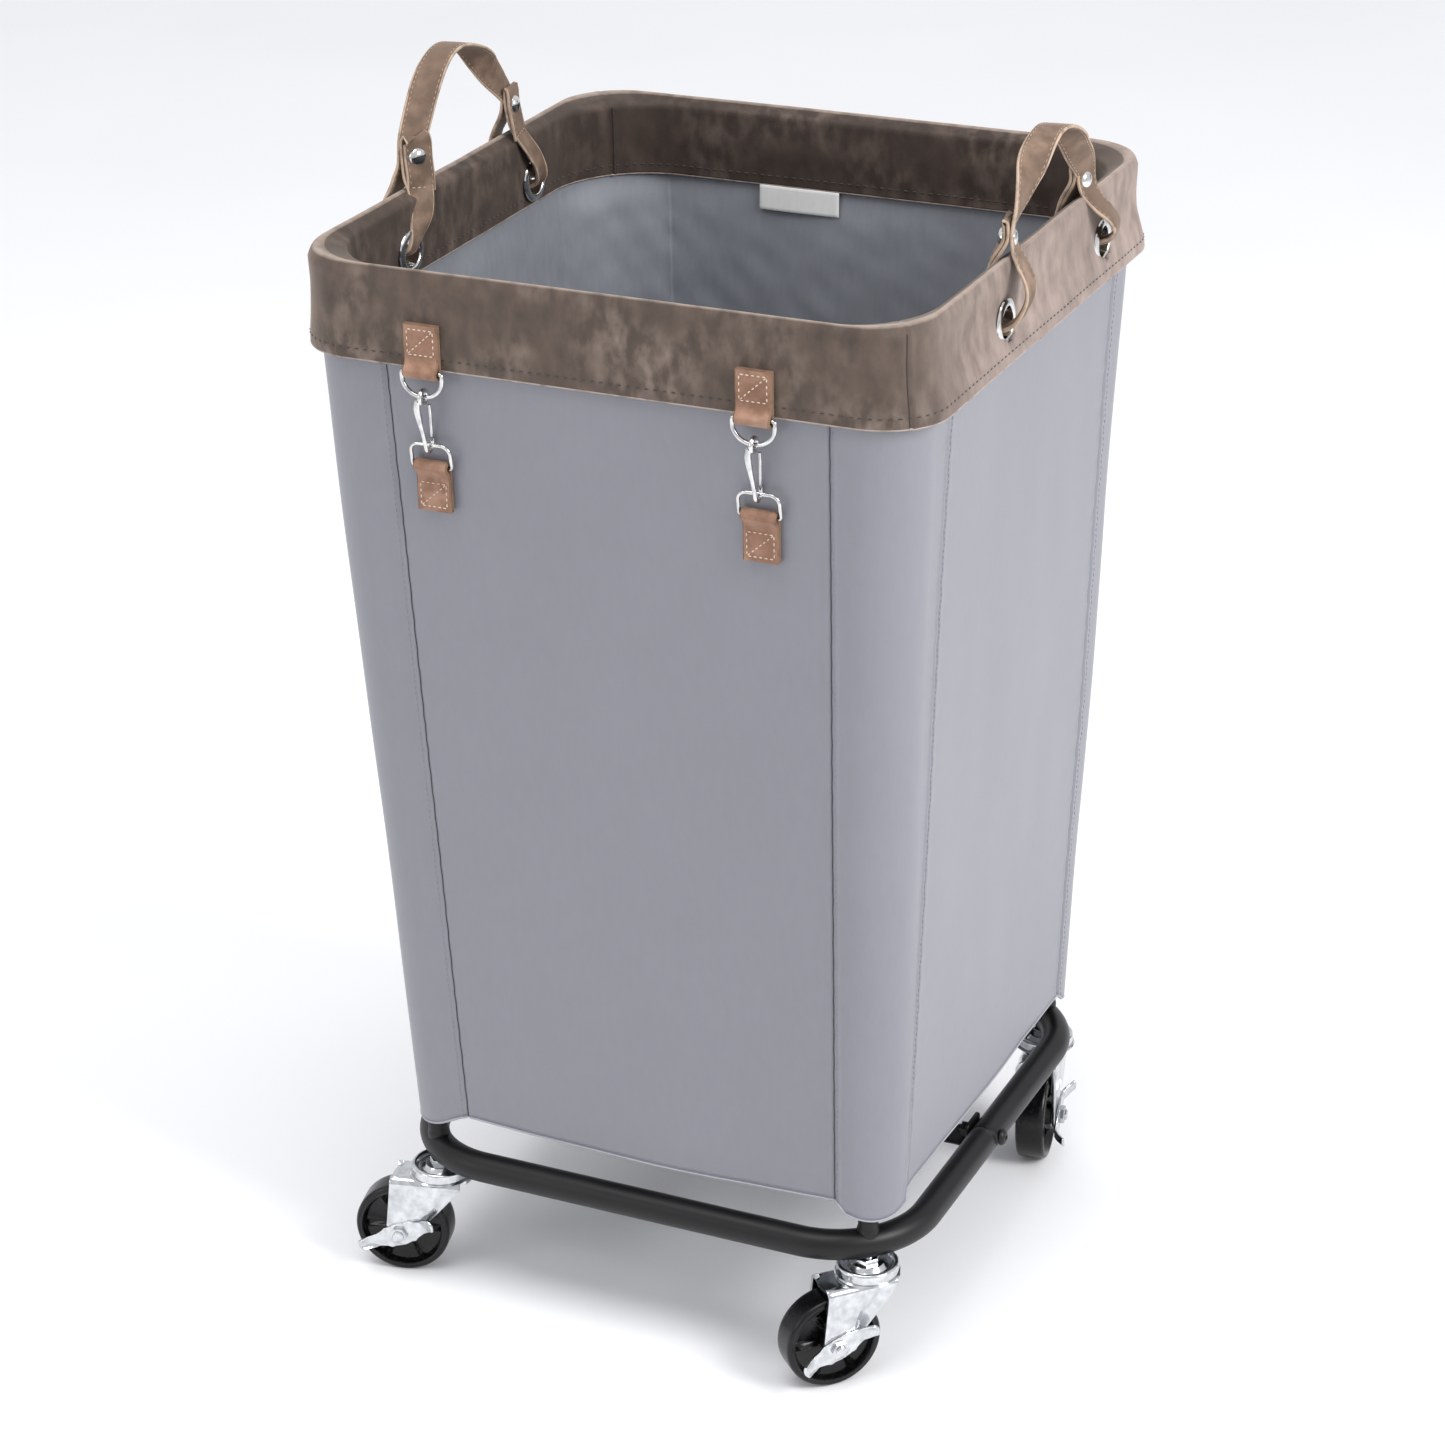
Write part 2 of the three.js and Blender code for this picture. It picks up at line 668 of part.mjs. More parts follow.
// The strap end that goes down the outside, in through the eyelet and up the inside of the rim.
function strapLoop(end) {
  const outerLeg = rimHalf + 2.5;
  const innerLeg = bandInnerHalf - 2.5;
  const low = eyeletHeight + loopRise;
  const outside = prismAlongY(
    [
      [innerLeg - STRAP_THICK, low + 3],
      [innerLeg - STRAP_THICK + 3, low - STRAP_THICK / 2],
      [outerLeg + STRAP_THICK - 3, low - STRAP_THICK / 2],
      [outerLeg + STRAP_THICK, low + 3],
      [outerLeg + STRAP_THICK, strapBase - 3],
      [outerLeg + STRAP_THICK - 3, strapBase],
      [innerLeg - STRAP_THICK + 3, strapBase],
      [innerLeg - STRAP_THICK, strapBase - 3],
    ],
    -STRAP_NECK / 2,
    STRAP_NECK / 2,
  );
  const inside = prismAlongY(
    [
      [innerLeg, low + STRAP_THICK / 2 + 1],
      [innerLeg + 1, low + STRAP_THICK / 2],
      [outerLeg - 1, low + STRAP_THICK / 2],
      [outerLeg, low + STRAP_THICK / 2 + 1],
      [outerLeg, strapBase - STRAP_THICK],
      [innerLeg, strapBase - STRAP_THICK],
    ],
    -STRAP_NECK,
    STRAP_NECK,
  );
  const lean = (-end * (EYELET_SPACING - SNAP_SPACING)) / 2 / (hingeHeight + 12 - low);
  const shear = new THREE.Matrix4().set(1, 0, 0, 0, 0, 1, lean, -lean * low, 0, 0, 1, 0, 0, 0, 0, 1);
  return { body: cut(outside, inside), shear };
}

// The hand strap above the rim: two snapped double ends and the arch between them.
function handleStrap() {
  const stem = stemHalf;
  const stemTop = snapHeight + SNAP_DIAMETER;
  const half = SNAP_SPACING / 2;
  const rise = RIM_HEIGHT + HANDLE_RISE - stemTop + 6;
  const outer = [];
  const inner = [];
  const archSteps = 16;
  for (let i = 0; i <= archSteps; i++) {
    const angle = (Math.PI * i) / archSteps;
    const base = stemTop - 6;
    outer.push([half * Math.cos(angle), base + rise * Math.sin(angle)]);
    inner.push([(half - STRAP_THICK) * Math.cos(angle), base + (rise - STRAP_THICK) * Math.sin(angle)]);
  }
  const arch = prismAlongX([...outer, ...inner.reverse()], -STRAP_WIDTH / 2, STRAP_WIDTH / 2);
  const stems = [-1, 1].map((end) => {
    const middle = end * stemMiddle;
    const outline = [
      ...arcPoints(0, hingeHeight, stem, 180, 360, 6),
      [stem, stemTop],
      [-stem, stemTop],
    ];
    const leg = prismAlongY(outline, middle - STRAP_WIDTH / 2, middle + STRAP_WIDTH / 2);
    const hole = bar(
      new THREE.Vector3(-stem - 1, middle, snapHeight),
      new THREE.Vector3(stem + 1, middle, snapHeight),
      SNAP_BARREL + RUNNING,
      12,
    );
    return { leg, hole };
  });
  const body = join(arch, ...stems.map(({ leg }) => leg));
  return cut(body, ...stems.map(({ hole }) => hole));
}

// A snap fastener: domed cap outside, rolled back inside, joined through the strap.
function snap() {
  const face = stemHalf + FIT;
  const cap = SNAP_DIAMETER / 2;
  return turned(
    [
      [0, -face - 2],
      [cap * 0.7, -face - 1.5],
      [cap, -face],
      [SNAP_BARREL, -face],
      [SNAP_BARREL, face],
      [cap, face],
      [cap * 0.75, face + 2],
      [0, face + 3],
    ],
    12,
  );
}

// ---- Clip sets ----

// A folded leather tab with a loop at one end: +1 has the loop at the top, -1 at the bottom.
function tab(back, loopHeight, length, loopSide) {
  const loopY = -(back + tabLoop);
  const front = -(back + TAB_THICK);
  const end = loopHeight - loopSide * (length - tabLoop);
  const slab = box(
    -tabWidth / 2, tabWidth / 2, front, -back, Math.min(end, loopHeight), Math.max(end, loopHeight),
  );
  const left = new THREE.Vector3(-tabWidth / 2, loopY, loopHeight);
  const right = new THREE.Vector3(tabWidth / 2, loopY, loopHeight);
  const wider = new THREE.Vector3(1, 0, 0);
  const bore = bar(
    left.clone().sub(wider), right.clone().add(wider), RING_WIRE / 2 + RUNNING, 12,
  );
  return cut(join(slab, bar(left, right, tabLoop, 16)), bore);
}

// A wire ring in the XZ plane, hung from the straight bar at height 0, round at the bottom.
function dRing() {
  const wire = RING_WIRE / 2;
  const half = dRingHalf;
  const shoulder = D_RING_BOW / 4;
  const stations = [[new THREE.Vector3(half, 0, 0), new THREE.Vector3(0, 0, -1)]];
  const steps = 10;
  for (let i = 0; i <= steps; i++) {
    const angle = (-Math.PI * i) / steps;
    const drop = D_RING_BOW - shoulder;
    const at = new THREE.Vector3(half * Math.cos(angle), 0, -shoulder + drop * Math.sin(angle));
    const along = new THREE.Vector3(half * Math.sin(angle), 0, -drop * Math.cos(angle));
    stations.push([at, along]);
  }
  stations.push([new THREE.Vector3(-half, 0, 0), new THREE.Vector3(0, 0, 1)]);
  const bow = tubeAlong(stations, wire, 8);
  const straight = bar(
    new THREE.Vector3(-half - wire * 0.6, 0, 0), new THREE.Vector3(half + wire * 0.6, 0, 0), wire, 8,
  );
  return join(bow, straight);
}

// A square wire ring with round upper corners: its lower bar sits in the lower tab and its upper
// bar carries the hook.
function squareRing() {
  const wire = SQUARE_RING_WIRE / 2;
  const half = squareRingHalf;
  const top = squareRingRise;
  const bend = SQUARE_RING_HEIGHT / 3;
  const stations = [[new THREE.Vector3(half, 0, 0), new THREE.Vector3(0, 0, 1)]];
  for (const side of [1, -1]) {
    const from = side > 0 ? 0 : 90;
    for (const [x, z] of arcPoints(0, 0, bend, from, from + 90, 4)) {
      const at = new THREE.Vector3(side * (half - bend) + x, 0, top - bend + z);
      stations.push([at, new THREE.Vector3(-z, 0, x)]);
    }
  }
  stations.push([new THREE.Vector3(-half, 0, 0), new THREE.Vector3(0, 0, -1)]);
  const end = half + wire * 0.6;
  const lower = bar(new THREE.Vector3(-end, 0, 0), new THREE.Vector3(end, 0, 0), wire, 8);
  return join(tubeAlong(stations, wire, 8), lower);
}

// Snap hook, eye at the origin, hanging towards -Z: eye ring, spine and a nose that turns up.
function snapHook() {
  const wire = HOOK_WIRE / 2;
  const eye = solid(new THREE.TorusGeometry(HOOK_EYE, wire, 8, 14).rotateY(Math.PI / 2));
  const stations = [];
  const push = (y, z, along) => stations.push([new THREE.Vector3(0, y, z), along]);
  push(-HOOK_EYE, -wire, new THREE.Vector3(0, 0, -1));
  for (const [y, z] of arcPoints(0, 0, HOOK_EYE, 180, 360, 8)) {
    push(y, z - hookSpan, new THREE.Vector3(0, -z, y));
  }
  push(HOOK_EYE, HOOK_NOSE - hookSpan, new THREE.Vector3(0, 0, 1));
  return join(eye, tubeAlong(stations, wire, 8));
}

// The sprung gate that closes the hook from the eye to the nose.
function hookGate() {
  const top = -HOOK_EYE - HOOK_WIRE / 2 - GATE_GAP;
  const from = new THREE.Vector3(0, HOOK_EYE * 0.7, top);
  const to = new THREE.Vector3(0, HOOK_EYE, HOOK_NOSE + GATE_GAP - hookSpan);
  return bar(from, to, HOOK_WIRE * 0.4, 8);
}

// ---- Casters ----

// Stem, top cup and king pin: turned about the swivel axis, fixed to the ring.
function casterRace() {
  const stem = STEM_DIAMETER / 2;
  const race = RACE_DIAMETER / 2;
  const under = casterHeight - FIT;
  const plateTop = forkTop + FIT;
  const pinHead = forkTop - FORK_PLATE - FIT;
  const stemTop = ringHeight + RING_TUBE / 2 - TUBE_WALL;
  return turned(
    [
      [0, pinHead - PIN_HEAD],
      [8, pinHead - PIN_HEAD],
      [8, pinHead],
      [KING_PIN, pinHead],
      [KING_PIN, plateTop],
      [race, plateTop],
      [race, under - 3],
      [race - 3, under - 3.6],
      [race - 8, plateTop + 3.4],
      [6.5, plateTop + 3],
      [6.5, under],
      [stem, under],
      [stem, stemTop],
      [0, stemTop],
    ],
    16,
  );
}

// Bent plate fork: top plate with a lip over the wheel and two legs down to the axle.
function casterFork() {
  const race = RACE_DIAMETER / 2;
  const outer = forkHalf + FORK_PLATE;
  const plateLow = forkTop - FORK_PLATE;
  const lip = CASTER_TRAIL + 5;
  const disc = arcPoints(0, 0, race, 40, 320, 8).map(([x, y]) => new THREE.Vector2(x, y));
  const hood = [
    new THREE.Vector2(lip - 6, -outer),
    new THREE.Vector2(lip, -outer * 0.55),
    new THREE.Vector2(lip, outer * 0.55),
    new THREE.Vector2(lip - 6, outer),
  ];
  const plate = prism([...disc, ...hood], plateLow, forkTop);
  const pinHole = bar(
    new THREE.Vector3(0, 0, plateLow - 1), new THREE.Vector3(0, 0, forkTop + 1), KING_PIN + RUNNING, 14,
  );
  const axleHeight = wheelRadius;
  const leg = [
    [-race * 0.75, forkTop - 0.5],
    [-race * 0.75, plateLow - 3],
    ...arcPoints(CASTER_TRAIL, axleHeight, 9.5, 205, 385, 8),
    [lip - 4, plateLow - 2],
    [lip - 6, forkTop - 0.5],
  ];
  const legs = [1, -1].map((side) => {
    const y0 = side > 0 ? forkHalf : -outer;
    return prismAlongY(leg, y0, y0 + FORK_PLATE);
  });
  const axle = bar(
    new THREE.Vector3(CASTER_TRAIL, -outer - 1, axleHeight),
    new THREE.Vector3(CASTER_TRAIL, outer + 1, axleHeight),
    AXLE_DIAMETER / 2 + RUNNING,
    14,
  );
  return cut(join(plate, ...legs), pinHole, axle);
}

// Wheel turned about its axle: hub, recessed web, rim and a tread with eased edges.
function casterWheel() {
  const half = WHEEL_WIDTH / 2;
  const hub = forkHalf - RUNNING;
  const bore = AXLE_DIAMETER / 2 + RUNNING;
  const side = [
    [bore, hub],
    [bore + 3.6, hub],
    [bore + 4.4, half * 0.45],
    [wheelRadius - 6.5, half * 0.45],
    [wheelRadius - 5, half - 0.8],
    [wheelRadius - 2.5, half],
    [wheelRadius, half - 2.5],
  ];
  const back = side.map(([radius, height]) => [radius, -height]).reverse();
  return turned([...side, ...back, side[0]], 24);
}

// Axle bolt with a round head on the left and a nut outside the brake rocker.
function casterAxle() {
  const radius = AXLE_DIAMETER / 2;
  const left = -forkHalf - FORK_PLATE - FIT;
  const right = pedalFace + PEDAL_PLATE + FIT;
  return turned(
    [
      [0, left - 2.6],
      [5, left - 2],
      [6.5, left],
      [radius, left],
      [radius, right],
      [6, right],
      [6, right + 3],
      [0, right + 3.6],
    ],
    12,
  );
}

// Rocker brake: a lobed plate on the axle with a tread tab turned out at each end.
function brakePedal() {
  const half = PEDAL_LENGTH / 2;
  const outline = [
    ...arcPoints(0, 0, 10, 250, 290, 3),
    [half * 0.6, -5],
    [half, -3.5],
    [half, 3.5],
    [half * 0.6, 6],
    ...arcPoints(0, 0, 9, 70, 110, 3),
    [-half * 0.6, 6],
    [-half, 3.5],
    [-half, -3.5],
    [-half * 0.6, -5],
  ];
  const plate = prismAlongY(outline, pedalFace, pedalFace + PEDAL_PLATE);
  const tabs = [1, -1].map((side) => {
    const x0 = side > 0 ? half - 12 : -half;
    return box(x0, x0 + 12, pedalFace, pedalFace + 9, 3.5 - PEDAL_PLATE, 3.5);
  });
  const hole = bar(
    new THREE.Vector3(0, pedalFace - 1, 0),
    new THREE.Vector3(0, pedalFace + PEDAL_PLATE + 1, 0),
    AXLE_DIAMETER / 2 + RUNNING,
    14,
  );
  return cut(join(plate, ...tabs), hole);
}

function placeCaster({ name, x, y, swivel }) {
  const foot = new THREE.Matrix4().makeTranslation(x * postFootX, y * postFootY, 0);
  const turn = new THREE.Matrix4().makeRotationZ(THREE.MathUtils.degToRad(swivel));
  const swivelled = foot.clone().multiply(turn);
  const toAxle = new THREE.Matrix4().makeTranslation(CASTER_TRAIL, 0, wheelRadius);
  const upright = new THREE.Matrix4().makeRotationX(-Math.PI / 2);
  const acrossAxle = swivelled.clone().multiply(toAxle).multiply(upright);
  const tilt = new THREE.Matrix4().makeRotationY(THREE.MathUtils.degToRad(PEDAL_TILT));
  place(`caster_stem_${name}`, MATERIALS.zinc, casterRace(), foot);
  place(`caster_fork_${name}`, MATERIALS.zinc, casterFork(), swivelled);
  place(`caster_wheel_${name}`, MATERIALS.wheel, casterWheel(), acrossAxle);
  place(`caster_axle_${name}`, MATERIALS.zinc, casterAxle(), acrossAxle);
  place(`brake_pedal_${name}`, MATERIALS.zinc, brakePedal(), swivelled.clone().multiply(toAxle).multiply(tilt));
}

// ---- Assembly ----

place("ring_front", MATERIALS.blackSteel, frontRing());
place("ring_rear", MATERIALS.blackSteel, rearRing());
place("cross_bar", MATERIALS.blackSteel, crossBar());
for (const [name, side] of [["right", 1], ["left", -1]]) {
  const at = new THREE.Matrix4().makeTranslation(side * ringHalf, boltY, ringHeight);
  const out = new THREE.Matrix4().makeRotationY((side * Math.PI) / 2);
  place(`joint_bolt_${name}`, MATERIALS.blackSteel, jointBolt(), at.multiply(out));
}
for (const { name, x, y } of CASTER_PLACES) {
  place(`post_${name}`, MATERIALS.blackSteel, post(x, y));
}
place("rim_hoop", MATERIALS.blackSteel, rimHoop());
place("bag", MATERIALS.canvas, bag());
place("base_board", MATERIALS.board, baseBoard());
place("rim_band", MATERIALS.leather, rimBand());
CASTER_PLACES.forEach(placeCaster);

for (const { name, side, y, end } of eyeletPlaces()) {
  const at = new THREE.Matrix4().makeTranslation(0, y, eyeletHeight);
  const across = new THREE.Matrix4().makeRotationY((side * Math.PI) / 2);
  place(`eyelet_${name}`, MATERIALS.nickel, eyelet(), at.clone().multiply(across));
  const { body, shear } = strapLoop(end);
  const sideways = new THREE.Matrix4().makeTranslation(0, y, 0);
  const mirror = new THREE.Matrix4().makeRotationZ(side > 0 ? 0 : Math.PI);
  const turnedEnd = side > 0 ? end : -end;
  const leaned = turnedEnd === end ? shear : strapLoop(turnedEnd).shear;
  place(`strap_loop_${name}`, MATERIALS.strap, body, sideways.multiply(mirror).multiply(leaned));
}

for (const { name, x, y } of HANDLE_PLACES) {
  const over = new THREE.Matrix4().makeTranslation(x * handleX, y, 0);
  place(`handle_strap_${name}`, MATERIALS.strap, handleStrap(), over);
  for (const [endName, end] of [["front", -1], ["rear", 1]]) {
    const snapY = y + end * stemMiddle;
    const at = new THREE.Matrix4().makeTranslation(x * handleX, snapY, snapHeight);
    const across = new THREE.Matrix4().makeRotationY(Math.PI / 2);
    place(`snap_${name}_${endName}`, MATERIALS.nickel, snap(), at.multiply(across));
  }
}

// The chain of D-ring, hook and square ring leans back from the band to the bag.
for (const [name, side] of [["left", -1], ["right", 1]]) {
  const x = (side * CLIP_SPACING) / 2 + CLIP_SHIFT;
  const across = new THREE.Matrix4().makeTranslation(x, 0, 0);
  const lean = new THREE.Matrix4().makeRotationX(chainLean);
  place(`upper_tab_${name}`, MATERIALS.tab, tab(upperTabBack, clipTop, UPPER_TAB_LENGTH, -1), across);
  place(`lower_tab_${name}`, MATERIALS.tab, tab(lowerTabBack, clipBottom, LOWER_TAB_LENGTH, 1), across);
  const top = new THREE.Matrix4().makeTranslation(x, clipTopY, clipTop);
  place(`d_ring_${name}`, MATERIALS.nickel, dRing(), top);
  const hookAt = new THREE.Matrix4().makeTranslation(x, clipTopY, clipTop - D_RING_BOW);
  place(`snap_hook_${name}`, MATERIALS.nickel, snapHook(), hookAt.clone().multiply(lean));
  place(`hook_gate_${name}`, MATERIALS.nickel, hookGate(), hookAt.clone().multiply(lean));
  const bottom = new THREE.Matrix4().makeTranslation(x, clipBottomY, clipBottom);
  place(`square_ring_${name}`, MATERIALS.nickel, squareRing(), bottom.multiply(lean));
}

export default group;
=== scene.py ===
"""Rolling laundry hamper: lined cloth bag with a leather rim, carry straps and clips on a braked caster frame."""

import logging
import math
from dataclasses import dataclass, field
from enum import Enum
from typing import Sequence

import bmesh
import bpy
import numpy as np
from mathutils import Matrix


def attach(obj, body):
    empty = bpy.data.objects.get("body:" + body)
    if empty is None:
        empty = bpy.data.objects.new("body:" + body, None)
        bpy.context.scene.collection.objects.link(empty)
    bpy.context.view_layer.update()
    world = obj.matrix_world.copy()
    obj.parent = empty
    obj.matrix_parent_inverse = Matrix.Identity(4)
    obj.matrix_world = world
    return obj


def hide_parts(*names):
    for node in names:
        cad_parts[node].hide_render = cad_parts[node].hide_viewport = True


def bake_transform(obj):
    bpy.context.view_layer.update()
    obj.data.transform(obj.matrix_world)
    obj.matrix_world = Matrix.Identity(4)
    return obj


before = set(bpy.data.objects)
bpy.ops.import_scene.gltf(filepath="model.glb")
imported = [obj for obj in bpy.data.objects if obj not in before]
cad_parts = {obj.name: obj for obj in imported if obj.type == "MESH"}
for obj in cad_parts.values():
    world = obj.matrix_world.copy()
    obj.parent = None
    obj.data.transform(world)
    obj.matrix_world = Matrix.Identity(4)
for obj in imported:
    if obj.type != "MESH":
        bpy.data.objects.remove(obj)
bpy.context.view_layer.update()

Array = np.ndarray
LOG = logging.getLogger("hamper")
MM = 0.001
# Points nearer than this are one point, in metres.
WELD = 2e-6
# A stitch is a bead of this many rings, with this many points round each.
BEAD_RINGS, BEAD_SIDES = 5, 7


# ---- Points, paths and grids. Shapes are worked out in millimetres. ----


@dataclass
class Patch:
    """A piece of surface: points (n, 3), four-sided faces (m, 4), flat coordinates (n, 2) and a finish number."""

    points: Array
    faces: Array
    flat: Array
    finish: int = 0

    def moved(self, place: Array) -> "Patch":
        """The same patch carried by a 4 by 4 matrix."""
        return Patch(self.points @ place[:3, :3].T + place[:3, 3], self.faces, self.flat, self.finish)


def shift(x: float, y: float, z: float) -> Array:
    """A 4 by 4 matrix that moves points.

    Args:
        x: how far along X.
        y: how far along Y.
        z: how far along Z.

    Returns:
        The matrix.
    """
    made = np.eye(4)
    made[:3, 3] = (x, y, z)
    return made


def spin(axis: str, degrees: float) -> Array:
    """A 4 by 4 matrix that turns about one axis, by the right hand."""
    return np.array(Matrix.Rotation(math.radians(degrees), 4, axis))


def facing(right: Array, up: Array, back: Array, at: Sequence[float]) -> Matrix:
    """Where a camera or a light stands, since both look against their own Z.

    Args:
        right: its X direction.
        up: its Y direction.
        back: its Z direction.
        at: its place in metres.

    Returns:
        The matrix for matrix_world.
    """
    pose = np.eye(4)
    pose[:3] = np.stack([right, up, back, at], 1)
    return Matrix(pose.tolist())


def unit(vectors: Array) -> Array:
    """Vectors divided by their own lengths."""
    return vectors / np.maximum(np.linalg.norm(vectors, axis=-1, keepdims=True), 1e-12)


def ease(low: float, high: float, x: Array) -> Array:
    """Smooth step: with t = (x - low) / (high - low) held in 0..1, it is t * t * (3 - 2 t)."""
    t = np.clip((x - low) / (high - low), 0.0, 1.0)
    return t * t * (3.0 - 2.0 * t)


def bump(x: Array, width: float) -> Array:
    """A bell of height 1 at x = 0: exp(-(x / width) squared)."""
    return np.exp(-((x / width) ** 2))


def unevenness(points: Array, length: float, seed: int, count: int = 7) -> Array:
    """Soft unevenness of about -1..1: the mean of sines along random directions, each of wavelength near length.

    Args:
        points: places to read, (..., 3) in millimetres.
        length: the typical wavelength in millimetres.
        seed: picks the directions and phases.
        count: how many sines are added.

    Returns:
        One number per point.
    """
    draw = np.random.default_rng(seed)
    ways = unit(draw.normal(size=(count, 3))) / (length * draw.uniform(0.6, 1.7, (count, 1)))
    phases = draw.uniform(0.0, 2.0 * math.pi, count)
    return np.sin(2.0 * math.pi * points @ ways.T + phases).sum(-1) / math.sqrt(count * 1.6)


def quads(rows: int, columns: int) -> Array:
    """Four-sided faces over rows and columns of points, which are numbered row by row."""
    number = np.arange(rows * columns).reshape(rows, columns)
    return np.stack([number[:-1, :-1], number[:-1, 1:], number[1:, 1:], number[1:, :-1]], -1).reshape(-1, 4)


def grid(points: Array, finish: int = 0, round_rows: bool = False, round_columns: bool = False) -> Patch:
    """A surface over rows and columns of points. Its flat coordinates are the mean lengths along both, in metres.

    Args:
        points: (rows, columns, 3).
        finish: the finish number of all its faces.
        round_rows: join the last row to the first.
        round_columns: join the last column to the first.

    Returns:
        The patch, with doubled points along a joined edge, which are welded later.
    """
    if round_rows:
        points = np.concatenate([points, points[:1]], 0)
    if round_columns:
        points = np.concatenate([points, points[:, :1]], 1)
    rows, columns = points.shape[:2]
    down = np.linalg.norm(np.diff(points, axis=0), axis=-1).mean(1)
    across = np.linalg.norm(np.diff(points, axis=1), axis=-1).mean(0)
    v = np.concatenate([[0.0], np.cumsum(down)]) * MM
    u = np.concatenate([[0.0], np.cumsum(across)]) * MM
    flat = np.stack(np.broadcast_arrays(u[None, :], v[:, None]), -1).reshape(-1, 2)
    return Patch(points.reshape(-1, 3), quads(rows, columns), flat, finish)


def lid(ring: Array, finish: int = 0) -> Patch:
    """A fan that closes a ring of points to its own middle."""
    middle = np.broadcast_to(ring.mean(0), ring.shape)
    return grid(np.stack([ring, middle]), finish, round_columns=True)


def turning(profile: Sequence[tuple[float, float]], sides: int, finish: int = 0) -> Patch:
    """A profile turned once round Z: x = r cos a, y = r sin a, z = h.

    Args:
        profile: (radius, height) pairs.
        sides: points round.
        finish: the finish number.

    Returns:
        The patch.
    """
    pairs = np.array(profile, float)
    a = np.linspace(0.0, 2.0 * math.pi, sides, endpoint=False)
    r, h = pairs[:, :1], pairs[:, 1:]
    return grid(np.stack(np.broadcast_arrays(r * np.cos(a), r * np.sin(a), h), -1), finish, round_columns=True)


def arc(cx: float, cy: float, radius: float, start: float, end: float, steps: int) -> list[tuple[float, float]]:
    """Points on an arc, angles in degrees."""
    a = np.radians(np.linspace(start, end, steps))
    return list(zip((cx + radius * np.cos(a)).tolist(), (cy + radius * np.sin(a)).tolist()))


def curve_through(knots: Array, count: int) -> Array:
    """A smooth curve (Catmull-Rom) through the knots, at count places evenly spaced along its first three numbers.

    Between knots b and c, with a before and d after, it is
    b + t (c - a) / 2 + t t (2a - 5b + 4c - d) / 2 + t t t (3b - a - 3c + d) / 2.

    Args:
        knots: (n, k), each a point and whatever else is carried along with it.
        count: how many places.

    Returns:
        (count, k).
    """
    padded = np.concatenate([2 * knots[:1] - knots[1:2], knots, 2 * knots[-1:] - knots[-2:-1]])
    a, b, c, d = padded[:-3, None], padded[1:-2, None], padded[2:-1, None], padded[3:, None]
    t = np.linspace(0.0, 1.0, 24, endpoint=False)[None, :, None]
    fine = b + t * (c - a) / 2 + t**2 * (2 * a - 5 * b + 4 * c - d) / 2 + t**3 * (3 * b - a - 3 * c + d) / 2
    fine = np.concatenate([fine.reshape(-1, knots.shape[1]), knots[-1:]])
    run = np.concatenate([[0.0], np.cumsum(np.linalg.norm(np.diff(fine[:, :3], axis=0), axis=1))])
    wanted = np.linspace(0.0, run[-1], count)
    return np.stack([np.interp(wanted, run, fine[:, k]) for k in range(knots.shape[1])], 1)


def tube(path: Array, radius: float | Array, sides: int = 16, finish: int = 0, closed: bool = False) -> list[Patch]:
    """A round tube along a path: ring i is path i plus r (cos a * side + sin a * up), and side is carried along.

    Args:
        path: (n, 3).
        radius: one radius or one per place.
        sides: points round the tube.
        finish: the finish number.
        closed: the path is a loop, with no ends.

    Returns:
        The wall, and a lid at each end of an open tube.
    """
    along = unit(np.gradient(path, axis=0))
    if closed:
        along = unit(np.roll(path, -1, 0) - np.roll(path, 1, 0))
    normal = unit(np.linalg.svd(path - path.mean(0))[2][2][None])[0]
    side = unit(np.cross(np.broadcast_to(normal, along.shape), along))
    up = np.cross(along, side)
    a = np.linspace(0.0, 2.0 * math.pi, sides, endpoint=False)[None, :, None]
    r = np.broadcast_to(np.asarray(radius, float).reshape(-1, 1, 1), (len(path), 1, 1))
    rings = path[:, None] + r * (np.cos(a) * side[:, None] + np.sin(a) * up[:, None])
    wall = grid(rings, finish, round_rows=closed, round_columns=True)
    return [wall] if closed else [wall, lid(rings[0], finish), lid(rings[-1], finish)]


